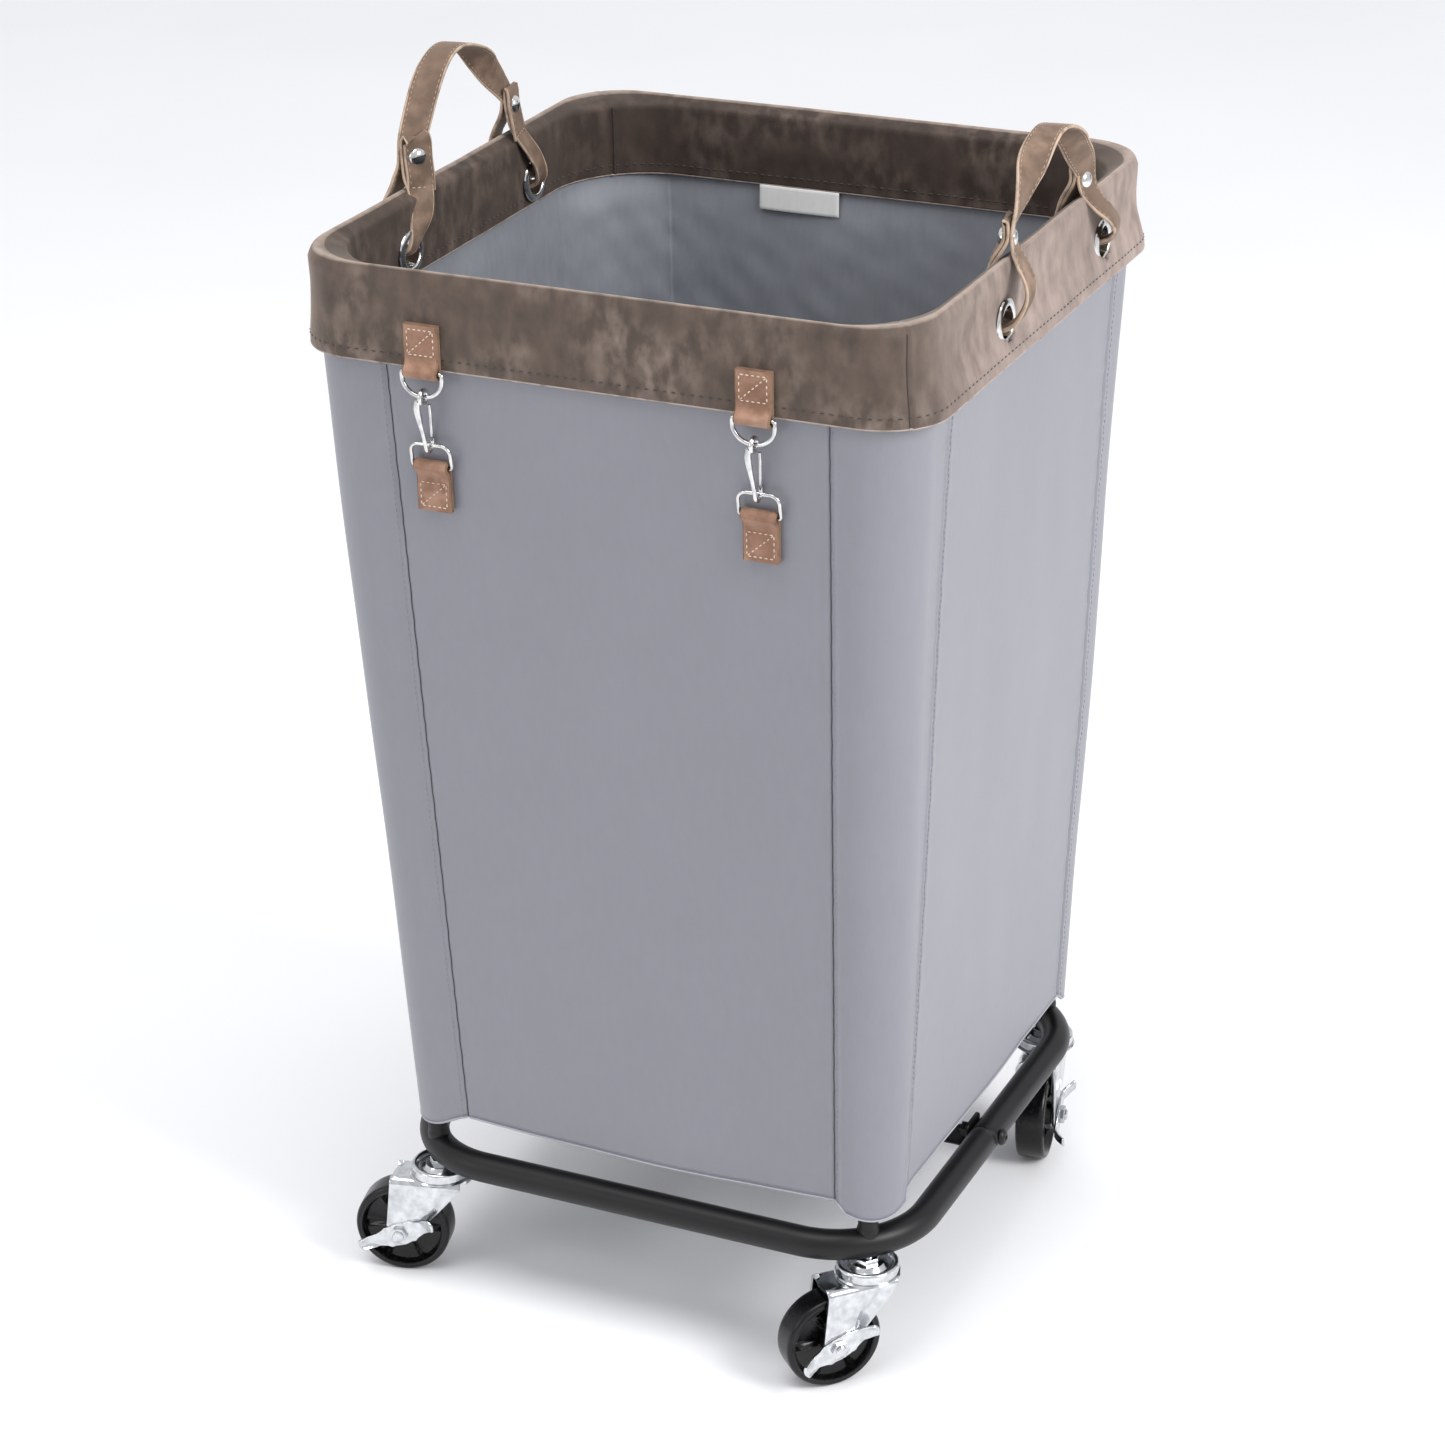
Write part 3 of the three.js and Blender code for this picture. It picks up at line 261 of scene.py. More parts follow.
def ribbon(path: Array, across: Array, width: Array, thick: float, cup: Array, face: int, edge: int) -> list[Patch]:
    """A flat strap along a path. Its section is a bar with round edges, bent into a trough by cup.

    With s from -1 to 1 across the width, a section point is path + across * s * width / 2
    + normal * (half the thickness + cup * s * s).

    Args:
        path: (n, 3) middle line.
        across: (n, 3) directions of the width, made square to the path here.
        width: (n,) widths.
        thick: thickness.
        cup: (n,) how far the edges bend to the normal's side.
        face: finish number of the two faces.
        edge: finish number of the cut edges and ends.

    Returns:
        Four strips and two lids.
    """
    along = unit(np.gradient(path, axis=0))
    across = unit(across - (across * along).sum(1, keepdims=True) * along)
    normal = np.cross(along, across)
    r = thick / 2

    def strip(share: Array, out: Array, lift: Array, finish: int) -> tuple[Patch, Array]:
        """One strip of the section.

        Args:
            share: where its points lie, as shares of the half width.
            out: how far each lies out on the round edge, in radii.
            lift: how far each is lifted off the middle, in radii.
            finish: the finish number.

        Returns:
            The strip and its points.
        """
        s = share[None] * (width[:, None] / 2 - r) + out[None] * r
        rise = lift[None] * r + cup[:, None] * (s / (width[:, None] / 2)) ** 2
        points = path[:, None] + s[..., None] * across[:, None] + rise[..., None] * normal[:, None]
        return grid(points, finish), points

    flat_share = np.linspace(-1.0, 1.0, 9)
    turn = np.linspace(math.pi / 2, -math.pi / 2, 6)
    ones = np.ones(6)
    top, top_points = strip(flat_share, flat_share * 0, flat_share * 0 + 1, face)
    right, right_points = strip(ones, np.cos(turn), np.sin(turn), edge)
    bottom, bottom_points = strip(flat_share[::-1], flat_share * 0, flat_share * 0 - 1, face)
    left, left_points = strip(-ones, -np.cos(turn), -np.sin(turn), edge)
    parts = [top_points, right_points[:, 1:-1], bottom_points, left_points[:, 1:-1]]
    section = np.concatenate(parts, 1)
    return [top, right, bottom, left, lid(section[0], edge), lid(section[-1], edge)]


def seam_stitches(path: Array, out: Array, length: float, gap: float, radius: float, finish: int = 0) -> Patch:
    """Threads along a path, each a bead of few faces, half sunk in the cloth.

    A bead's ring at t (-1..1) is its middle + along * t * length / 2 + radius * root(1 - t t) * (cos a, sin a).

    Args:
        path: (n, 3) where the seam runs, on the surface.
        out: (n, 3) which way is out of the surface.
        length: length of one stitch.
        gap: space between two.
        radius: the thread's radius.
        finish: the finish number.

    Returns:
        All the beads as one patch.
    """
    run = np.concatenate([[0.0], np.cumsum(np.linalg.norm(np.diff(path, axis=0), axis=1))])
    count = max(1, int(run[-1] / (length + gap)))
    at = (np.arange(count) + 0.5) * run[-1] / count
    reach = length / 2

    def read(values: Array, places: Array) -> Array:
        """Values of the path at places along it."""
        return np.stack([np.interp(places, run, values[:, k]) for k in range(3)], 1)

    middle, way = read(path, at), unit(read(path, at + reach) - read(path, at - reach))
    up = unit(read(out, at))
    side = np.cross(way, up)
    t = -np.cos(np.linspace(0.0, math.pi, BEAD_RINGS))
    a = np.linspace(0.0, 2.0 * math.pi, BEAD_SIDES)
    swell = radius * np.sqrt(np.maximum(0.0, 1.0 - t**2))
    rings = (
        middle[:, None, None]
        + reach * t[None, :, None, None] * way[:, None, None]
        + swell[None, :, None, None] * np.cos(a)[None, None, :, None] * side[:, None, None]
        + swell[None, :, None, None] * np.sin(a)[None, None, :, None] * up[:, None, None]
    )
    each = BEAD_RINGS * BEAD_SIDES
    faces = (quads(BEAD_RINGS, BEAD_SIDES)[None] + each * np.arange(count)[:, None, None]).reshape(-1, 4)
    flat = np.zeros((count * each, 2))
    return Patch(rings.reshape(-1, 3), faces, flat, finish)


@dataclass
class SquareLoop:
    """Places round a rounded square. On each side b runs -2..2, with a seam at b = -1 and +1, then an arc follows."""

    panel: int = 44
    wrap: int = 8
    bend: int = 14
    b: Array = field(init=False)
    side: Array = field(init=False)
    turn: Array = field(init=False)

    def __post_init__(self) -> None:
        """Lays out the places, closer together towards the seams."""
        middle = np.sin(np.linspace(-1.0, 1.0, self.panel) * math.pi / 2)
        wrap = np.linspace(1.0, 2.0, self.wrap)
        straight = np.concatenate([-wrap[::-1], middle[1:-1], wrap])
        turns = np.linspace(0.0, math.pi / 2, self.bend + 2)[1:-1]
        one_b = np.concatenate([straight, np.full(self.bend, 2.0)])
        one_turn = np.concatenate([straight * 0.0, turns])
        self.b = np.tile(one_b, 4)
        self.turn = np.tile(one_turn, 4)
        self.side = np.repeat(np.arange(4), len(one_b))

    def normals(self) -> Array:
        """Outward directions, (n, 2)."""
        angle = self.turn + self.side * math.pi / 2
        return np.stack([np.cos(angle), np.sin(angle)], 1)

    def along(self, reach: Array, seams: Array) -> Array:
        """How far along its side each place lies: seam * |b| up to the seam, then evenly on to the corner.

        Args:
            reach: (rows, 1) half the straight side.
            seams: (rows, 4, 2) the seams' distances from the middle of each side.

        Returns:
            (rows, n).
        """
        low, high = seams[:, self.side, 0], seams[:, self.side, 1]
        seam = np.where(self.b < 0, low, high)
        size = np.abs(self.b)
        far = np.where(size <= 1.0, size * seam, seam + (size - 1.0) * (reach - seam))
        return np.sign(self.b) * far

    def points(self, half: Array, corner: Array, seams: Array, z: Array) -> Array:
        """The loop at several heights: in a side's own frame (reach + r cos t, along + r sin t), turned by the side.

        Args:
            half: (rows, 1) or (rows, n) half sizes.
            corner: (rows, 1) corner radii.
            seams: (rows, 4, 2) seam places.
            z: (rows, 1) or (rows, n) heights.

        Returns:
            (rows, n, 3).
        """
        reach = half - corner
        x = reach + corner * np.cos(self.turn)
        y = self.along(reach, seams) + corner * np.sin(self.turn)
        quarter = self.side * math.pi / 2
        c, s = np.cos(quarter), np.sin(quarter)
        return np.stack(np.broadcast_arrays(x * c - y * s, x * s + y * c, z), -1)


def even_seams(rows: int, distance: float) -> Array:
    """The same seam distance on every side and row."""
    return np.full((rows, 4, 2), distance)


# ---- Finishes ----


def linear(colour: str) -> tuple[float, float, float, float]:
    """An sRGB colour made linear: c / 12.92 up to 0.04045, and ((c + 0.055) / 1.055) ** 2.4 above.

    Args:
        colour: hex, as #rrggbb.

    Returns:
        Red, green, blue and an alpha of 1.
    """
    parts = [int(colour[i : i + 2], 16) / 255 for i in (1, 3, 5)]
    red, green, blue = (c / 12.92 if c <= 0.04045 else ((c + 0.055) / 1.055) ** 2.4 for c in parts)
    return red, green, blue, 1.0


def node(
    tree: bpy.types.NodeTree,
    kind: str,
    settings: dict[str, object],
    feeds: Sequence[object] = (),
    **links: bpy.types.NodeSocket,
) -> bpy.types.Node:
    """Adds a node. A setting is an attribute of the node, or else an input's name with its value.

    Args:
        tree: the node tree.
        kind: the node's type, without the word ShaderNode.
        settings: values by name.
        feeds: what its first inputs get, in order, each an output or a number.
        links: outputs by the input they go to, with _ for a space.

    Returns:
        The node.
    """
    made = tree.nodes.new("ShaderNode" + kind)
    for name, value in settings.items():
        if hasattr(made, name):
            setattr(made, name, value)
    sockets = {s.name: s for s in reversed(list(made.inputs)) if s.enabled}
    for name, value in settings.items():
        if not hasattr(made, name):
            sockets[name].default_value = value
    for socket, value in zip(made.inputs, feeds):
        if isinstance(value, bpy.types.NodeSocket):
            tree.links.new(value, socket)
        else:
            socket.default_value = value
    for name, output in links.items():
        tree.links.new(output, sockets[name.replace("_", " ")])
    return made


def ramp(tree: bpy.types.NodeTree, value: bpy.types.NodeSocket, low: float, high: float) -> bpy.types.NodeSocket:
    """A value spread from low..high to 0..1, held at the ends."""
    return node(tree, "MapRange", {"From Min": low, "From Max": high}, Value=value).outputs["Result"]


def blended(
    tree: bpy.types.NodeTree, share: bpy.types.NodeSocket, first: object, second: object
) -> bpy.types.NodeSocket:
    """The mix of two colours.

    Args:
        tree: the node tree.
        share: how much of the second, 0..1.
        first: a linear colour or an output.
        second: the same.

    Returns:
        The mixed colour's output.
    """
    made = node(tree, "Mix", {"data_type": "RGBA"}, Factor=share)
    for name, colour in (("A", first), ("B", second)):
        socket = next(s for s in made.inputs if s.name == name and s.enabled)
        if isinstance(colour, bpy.types.NodeSocket):
            tree.links.new(colour, socket)
        else:
            socket.default_value = colour
    return next(s for s in made.outputs if s.enabled)


class Weave(Enum):
    """How fine a cloth's threads are."""

    FINE = 0.9
    COARSE = 1.6


@dataclass(frozen=True)
class Finish:
    """A finish: its Blender material is made once and kept by name."""

    name: str
    slot: str | None = None

    def material(self) -> bpy.types.Material:
        """Makes the material at the first call, and finds it again later.

        Returns:
            The material.
        """
        found = bpy.data.materials.get(self.name)
        if found:
            return found
        made = bpy.data.materials.new(self.name)
        made.use_nodes = True
        tree = made.node_tree
        tree.nodes.clear()
        shader = node(tree, "BsdfPrincipled", {})
        out = node(tree, "OutputMaterial", {}, Surface=shader.outputs["BSDF"])
        out.is_active_output = True
        self.paint(tree, shader)
        return made

    def paint(self, tree: bpy.types.NodeTree, shader: bpy.types.Node) -> None:
        """Sets the shader up. Each finish has its own."""
        raise NotImplementedError

    @staticmethod
    def place(tree: bpy.types.NodeTree, stretch: tuple[float, float, float] = (1, 1, 1)) -> bpy.types.NodeSocket:
        """Object coordinates in metres, stretched."""
        here = node(tree, "TexCoord", {}).outputs["Object"]
        return node(tree, "Mapping", {"Scale": stretch}, Vector=here).outputs["Vector"]

    @staticmethod
    def cells(
        tree: bpy.types.NodeTree, where: bpy.types.NodeSocket, size_mm: float, detail: float = 4.0
    ) -> bpy.types.NodeSocket:
        """Cloudy noise whose blots are about size_mm across."""
        return node(tree, "TexNoise", {"Scale": 1000.0 / size_mm, "Detail": detail}, Vector=where).outputs["Fac"]

    @staticmethod
    def cover(
        tree: bpy.types.NodeTree,
        shader: bpy.types.Node,
        colour: bpy.types.NodeSocket,
        by: bpy.types.NodeSocket,
        smooth: float,
        rough: float,
    ) -> None:
        """Links the colour, and a roughness that follows a pattern.

        Args:
            tree: the material's nodes.
            shader: its shader.
            colour: the colour.
            by: the pattern, 0..1.
            smooth: roughness where the pattern is 0.
            rough: roughness where it is 1.
        """
        roughness = node(tree, "MapRange", {"To Min": smooth, "To Max": rough}, Value=by).outputs["Result"]
        tree.links.new(colour, shader.inputs["Base Color"])
        tree.links.new(roughness, shader.inputs["Roughness"])

    @staticmethod
    def relief(
        tree: bpy.types.NodeTree,
        shader: bpy.types.Node,
        height: bpy.types.NodeSocket,
        depth_mm: float,
        strength: float,
    ) -> None:
        """Bump from a height of 0..1 that stands for depth_mm."""
        made = node(tree, "Bump", {"Distance": depth_mm * MM, "Strength": strength}, Height=height)
        tree.links.new(made.outputs["Normal"], shader.inputs["Normal"])


@dataclass(frozen=True)
class BrushedLeather(Finish):
    """Nubuck: leather sanded on its grain side. Its nap scatters light, so it pales at a glance and where worn."""

    dark: str = "#3f352f"
    middle: str = "#5d5047"
    worn: str = "#8f8076"
    painted_sheen: str = "#a0908a"
    nap: float = 0.45
    streak: tuple[float, float, float] = (1.0, 1.0, 0.6)
    # Paler places, in metres: the top fold's height, just under which it is paler, and how far out along X the right
    # side begins, painted paler as sheen from the light there. 0 is nowhere.
    pale_fold_top: float = 0.0
    painted_sheen_x: float = 0.0

    def paint(self, tree: bpy.types.NodeTree, shader: bpy.types.Node) -> None:
        """Clouds of 70 mm, streaks of 11 mm from the brush, pores of 0.9 mm, paler worn spots, a painted sheen on the
        right side, and a paler line just under the top fold.

        Args:
            tree: the material's nodes.
            shader: its shader.
        """
        here, drawn = self.place(tree), self.place(tree, self.streak)
        clouds = self.cells(tree, here, 70, 3)
        streaks = self.cells(tree, drawn, 11, 8)
        pores = self.cells(tree, here, 0.9, 3)
        product = {"operation": "MULTIPLY"}
        body = blended(tree, ramp(tree, streaks, 0.2, 0.72), linear(self.dark), linear(self.middle))
        spots = [ramp(tree, streaks, 0.42, 0.8), ramp(tree, clouds, 0.42, 0.66)]
        body = blended(tree, node(tree, "Math", product, spots).outputs[0], body, linear(self.worn))
        # Painted sheen: the right side, away from the front, is painted paler for the light that falls on it there.
        if self.painted_sheen_x:
            axes = node(tree, "SeparateXYZ", {}, Vector=here).outputs
            sideways = ramp(tree, axes["X"], self.painted_sheen_x - 0.012, self.painted_sheen_x + 0.004)
            rearwards = ramp(tree, axes["Y"], -0.22, -0.05)
            where = node(tree, "Math", product, [sideways, rearwards]).outputs[0]
            pale = node(tree, "Math", product, [where, ramp(tree, streaks, -0.1, 0.95)]).outputs[0]
            body = blended(tree, pale, body, linear(self.painted_sheen))
        # Paler just under the top fold's height, following the streaks.
        if self.pale_fold_top:
            height = node(tree, "SeparateXYZ", {}, Vector=here).outputs["Z"]
            near_top = ramp(tree, height, self.pale_fold_top - 0.0012, self.pale_fold_top - 0.0002)
            pale = node(tree, "Math", product, [near_top, ramp(tree, streaks, 0.1, 0.6)]).outputs[0]
            body = blended(tree, pale, body, linear(self.worn))
        self.cover(tree, shader, body, streaks, 0.62, 0.86)
        shader.inputs["Specular IOR Level"].default_value = 0.3
        shader.inputs["Sheen Weight"].default_value = self.nap
        shader.inputs["Sheen Roughness"].default_value = 0.45
        shader.inputs["Sheen Tint"].default_value = linear("#e6d5c6")
        grain = node(tree, "Math", {"operation": "MULTIPLY_ADD"}, [streaks, 0.6, pores]).outputs[0]
        self.relief(tree, shader, grain, 0.35, 0.45)


@dataclass(frozen=True)
class CoatedPolyester(Finish):
    """Woven polyester with a thin coat: a smooth satin cloth whose fine threads only just show."""

    colour: str = "#93939c"
    shade: str = "#85858f"
    weave: Weave = Weave.FINE
    shine: float = 0.42
    coat: float = 0.0

    def paint(self, tree: bpy.types.NodeTree, shader: bpy.types.Node) -> None:
        """Threads at the weave's spacing, about three times the real one so that they show, slubs and faint clouds.

        Args:
            tree: the material's nodes.
            shader: its shader.
        """
        here = self.place(tree)
        period = self.weave.value * MM
        # A wave texture of scale s repeats every 2 pi / (20 s) of a metre.
        waves = {"Scale": 2.0 * math.pi / (20.0 * period), "Distortion": 0.6, "Detail": 1.0}
        x, y, z = (node(tree, "TexWave", {"bands_direction": d, **waves}, Vector=here).outputs["Fac"] for d in "XYZ")
        level = node(tree, "Math", {"operation": "ADD"}, [x, y]).outputs[0]
        threads = node(tree, "Math", {"operation": "MULTIPLY_ADD"}, [level, 0.5, z]).outputs[0]
        slubs = self.cells(tree, self.place(tree, (1.0, 1.0, 0.3)), 4, 4)
        clouds = self.cells(tree, here, 55, 3)
        both = [ramp(tree, slubs, 0.25, 0.85), ramp(tree, clouds, 0.2, 0.9)]
        tone = node(tree, "Math", {"operation": "ADD"}, both).outputs[0]
        body = blended(tree, ramp(tree, tone, 0.3, 1.7), linear(self.shade), linear(self.colour))
        self.cover(tree, shader, body, clouds, self.shine - 0.04, self.shine + 0.1)
        shader.inputs["IOR"].default_value = 1.48
        shader.inputs["Coat Weight"].default_value = self.coat
        shader.inputs["Coat Roughness"].default_value = 0.33
        self.relief(tree, shader, threads, 0.06, 0.3)


@dataclass(frozen=True)
class PowderCoat(Finish):
    """Polyester powder baked on steel: near black, with a satin shine and a faint orange-peel skin."""

    colour: str = "#0a0a0b"
    pale: str = "#121213"

    def paint(self, tree: bpy.types.NodeTree, shader: bpy.types.Node) -> None:
        """Orange peel of 1.6 mm, and a tone and shine that wander over 40 mm.

        Args:
            tree: the material's nodes.
            shader: its shader.
        """
        here = self.place(tree)
        peel = self.cells(tree, here, 1.6, 2)
        clouds = self.cells(tree, here, 40, 3)
        body = blended(tree, ramp(tree, clouds, 0.3, 0.7), linear(self.colour), linear(self.pale))
        self.cover(tree, shader, body, clouds, 0.34, 0.5)
        shader.inputs["Specular IOR Level"].default_value = 0.35
        self.relief(tree, shader, peel, 0.06, 0.3)


@dataclass(frozen=True)
class PlatedMetal(Finish):
    """Plated and tumbled metal: bright, with soft spots where the plate is thinner and hairlines from handling."""

    colour: str = "#d9dadb"
    thin_plate: str = "#b4b6b9"
    rough_low: float = 0.1
    rough_high: float = 0.26
    dent: float = 0.05

    def paint(self, tree: bpy.types.NodeTree, shader: bpy.types.Node) -> None:
        """Soft spots of 6 mm, hairlines of 0.5 mm and shallow dents of 9 mm.

        Args:
            tree: the material's nodes.
            shader: its shader.
        """
        here = self.place(tree)
        spots = self.cells(tree, here, 6, 4)
        hair = self.cells(tree, self.place(tree, (0.15, 1.0, 1.0)), 0.5, 2)
        dents = self.cells(tree, here, 9, 1)
        body = blended(tree, ramp(tree, spots, 0.3, 0.75), linear(self.colour), linear(self.thin_plate))
        self.cover(tree, shader, body, spots, self.rough_low, self.rough_high)
        shader.inputs["Metallic"].default_value = 1.0
        height = node(tree, "Math", {"operation": "MULTIPLY_ADD"}, [hair, 0.12, dents]).outputs[0]
        self.relief(tree, shader, height, self.dent, 0.5)


@dataclass(frozen=True)
class MouldedNylon(Finish):
    """Glass-filled nylon or hard rubber from a mould: black and glossy, with fine scuffs on the tread."""

    colour: str = "#050506"
    scuffed: str = "#101012"

    def paint(self, tree: bpy.types.NodeTree, shader: bpy.types.Node) -> None:
        """Scuffs of 3 mm and a grain of 0.6 mm.

        Args:
            tree: the material's nodes.
            shader: its shader.
        """
        here = self.place(tree)
        scuffs = self.cells(tree, here, 3, 5)
        grain = self.cells(tree, here, 0.6, 2)
        body = blended(tree, ramp(tree, scuffs, 0.5, 0.8), linear(self.colour), linear(self.scuffed))
        self.cover(tree, shader, body, scuffs, 0.16, 0.34)
        shader.inputs["Specular IOR Level"].default_value = 0.35
        self.relief(tree, shader, grain, 0.04, 0.3)


@dataclass(frozen=True)
class SewingThread(Finish):
    """Twisted polyester thread: each stitch is a matt bead with a slight shine along its twist."""

    colour: str = "#2b221d"

    def paint(self, tree: bpy.types.NodeTree, shader: bpy.types.Node) -> None:
        """Twist of 0.5 mm and a tone that wanders over 12 mm.

        Args:
            tree: the material's nodes.
            shader: its shader.
        """
        here = self.place(tree)
        twist = self.cells(tree, here, 0.5, 2)
        tone = self.cells(tree, here, 12, 2)
        dark = tuple(c * 0.7 for c in linear(self.colour)[:3]) + (1.0,)
        body = blended(tree, ramp(tree, tone, 0.3, 0.7), linear(self.colour), dark)
        tree.links.new(body, shader.inputs["Base Color"])
        shader.inputs["Roughness"].default_value = 0.6
        shader.inputs["Sheen Weight"].default_value = 0.3
        self.relief(tree, shader, twist, 0.1, 0.5)


@dataclass(frozen=True)
class CutEdge(Finish):
    """The raw, burnished edge of leather: pale fibres with thin darker layers."""

    colour: str = "#cdb497"
    shade: str = "#8a6a50"

    def paint(self, tree: bpy.types.NodeTree, shader: bpy.types.Node) -> None:
        """Fibres of 0.7 mm and patches of 8 mm where the burnish has darkened.

        Args:
            tree: the material's nodes.
            shader: its shader.
        """
        here = self.place(tree)
        fibres = self.cells(tree, here, 0.7, 4)
        patches = self.cells(tree, here, 8, 3)
        body = blended(tree, ramp(tree, patches, 0.45, 0.8), linear(self.colour), linear(self.shade))
        tree.links.new(body, shader.inputs["Base Color"])
        shader.inputs["Roughness"].default_value = 0.75
        self.relief(tree, shader, fibres, 0.2, 0.5)


# Painted sheen on the band's right side from 208.5 mm out, and a paler line just under the top fold at 746.5 mm.
BAND_LEATHER = BrushedLeather("nubuck_rim_leather", "leather", pale_fold_top=0.7465, painted_sheen_x=0.2085)
# Painted shade: the same leather made darker for the inner slope of the top and the inner skirt, which lie in shade.
BAND_INSIDE_SHADED = BrushedLeather(
    "nubuck_rim_leather_painted_shade", "leather", dark="#2d2420", middle="#42362f", worn="#6e5f56", nap=0.3
)
BAND_FOLD = CutEdge("folded_leather_edge", "leather", colour="#a3958c", shade="#6f625a")
STRAP_LEATHER = BrushedLeather(
    "waxed_strap_leather", "strap", dark="#5a493d", middle="#735e4f", worn="#957d6b", nap=0.25, streak=(1, 1, 1)
)
STRAP_EDGE = CutEdge("cut_strap_edge", "strap", colour="#b09a86", shade="#66544a")
TAB_LEATHER = BrushedLeather(
    "tan_tab_leather", "tab", dark="#735443", middle="#977360", worn="#b89a84", nap=0.25, streak=(1, 1, 1)
)
TAB_EDGE = CutEdge("cut_tab_edge", "tab", colour="#7d604c", shade="#54402f")
BAG_CLOTH = CoatedPolyester("coated_polyester_bag", "canvas", colour="#7d7d85", shade="#787880", coat=0.4)
HEM_CLOTH = CoatedPolyester("turned_hem_cloth", "canvas", colour="#a3a3ab", shade="#95959e")
LINER_CLOTH = CoatedPolyester("coated_polyester_liner", "canvas", colour="#85888e", shade="#7a7d84", shine=0.5)
BOARD_CLOTH = CoatedPolyester(
    "covered_fibre_board", "board", colour="#7e8188", shade="#70737a", weave=Weave.COARSE, shine=0.6
)
LABEL_TAPE = CoatedPolyester(
    "woven_label_tape", None, colour="#dcdcda", shade="#cfcfcd", weave=Weave.COARSE, shine=0.55
)
BLACK_STEEL = PowderCoat("powder_coated_steel", "black_steel")
NICKEL = PlatedMetal("nickel_plated_steel", "nickel", colour="#e4e2de", rough_low=0.08, rough_high=0.2)
ZINC = PlatedMetal("bright_zinc_plated_steel", "zinc", colour="#dcdee0", rough_low=0.08, rough_high=0.24, dent=0.08)
WHEEL_BLACK = MouldedNylon("moulded_nylon_wheel", "wheel")
DARK_THREAD = SewingThread("dark_bonded_thread")
PALE_THREAD = SewingThread("waxed_linen_thread", colour="#d3bda6")
STRAP_THREAD = SewingThread("tan_strap_thread", colour="#b39c86")
GREY_THREAD = SewingThread("grey_seam_thread", colour="#77777f")
# Painted shadow: dark tubes along the bag's seam lines stand for the shade in the seams' grooves.
SEAM_SHADOW = SewingThread("painted_seam_shadow", colour="#35353b")


# ---- Making a piece ----


def make_piece(
    name: str, patches: Sequence[Patch], finishes: Sequence[Finish], sharp: float = 40.0
) -> bpy.types.Object:
    """One object from patches: welded, faces turned outwards, smooth but for edges sharper than an angle.

    Args:
        name: the piece's name.
        patches: surfaces in millimetres.
        finishes: the finishes that patch numbers point to.
        sharp: degrees above which an edge stays sharp.

    Returns:
        The object, at the origin, in metres.
    """
    counts = np.cumsum([0] + [len(p.points) for p in patches])
    points = np.concatenate([p.points for p in patches]) * MM
    faces = np.concatenate([p.faces + n for p, n in zip(patches, counts)])
    flat = np.concatenate([p.flat for p in patches])
    finish = np.repeat([p.finish for p in patches], [len(p.faces) for p in patches])
    mesh = bpy.data.meshes.new(name)
    mesh.vertices.add(len(points))
    mesh.vertices.foreach_set("co", points.astype(np.float32).ravel())
    mesh.loops.add(faces.size)
    mesh.loops.foreach_set("vertex_index", faces.ravel().astype(np.int32))
    mesh.polygons.add(len(faces))
    mesh.polygons.foreach_set("loop_start", np.arange(0, faces.size, 4, dtype=np.int32))
    mesh.polygons.foreach_set("material_index", finish.astype(np.int32))
    mesh.update(calc_edges=True)
    mesh.uv_layers.new(name="UVMap").data.foreach_set("uv", flat[faces.ravel()].astype(np.float32).ravel())
    work = bmesh.new()
    work.from_mesh(mesh)
    bmesh.ops.remove_doubles(work, verts=work.verts, dist=WELD)
    bmesh.ops.dissolve_degenerate(work, edges=work.edges, dist=WELD / 2)
    bmesh.ops.recalc_face_normals(work, faces=work.faces)
    work.to_mesh(mesh)
    work.free()
    for one in finishes:
        mesh.materials.append(one.material())
    mesh.shade_smooth()
    mesh.set_sharp_from_angle(angle=math.radians(sharp))
    made = bpy.data.objects.new(name, mesh)
    bpy.context.scene.collection.objects.link(made)
    LOG.info("%s: %d faces", name, len(mesh.polygons))
    return made


def thicken(piece: bpy.types.Object, thickness: float, offset: float = -1.0) -> None:
    """Gives a sheet its thickness.

    Args:
        piece: the sheet.
        thickness: in millimetres.
        offset: -1 is inwards, 0 both ways and 1 outwards.
    """
    made = piece.modifiers.new("thickness", "SOLIDIFY")
    made.thickness = thickness * MM
    made.offset = offset
    made.use_even_offset = True


def soften(piece: bpy.types.Object, width: float, steps: int = 2, angle: float = 50.0) -> None:
    """Rounds edges sharper than an angle.

    Args:
        piece: the piece.
        width: width of the rounding in millimetres.
        steps: how many faces it is made of.
        angle: the angle in degrees.
    """
    made = piece.modifiers.new("soft_edges", "BEVEL")
    made.width = width * MM
    made.segments = steps
    made.limit_method = "ANGLE"
    made.angle_limit = math.radians(angle)
    made.harden_normals = False


def fit(piece: bpy.types.Object, body: str, finish: Finish, *nodes: str) -> bpy.types.Object:
    """Puts a piece on its body and hides the solids that it stands for.

    Args:
        piece: the piece.
        body: the body that it moves with.
        finish: not used.
        nodes: the solids that it replaces.

    Returns:
        The piece.
    """
    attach(piece, body)
    if nodes:
        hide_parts(*nodes)
    return piece


# ---- The steel frame ----


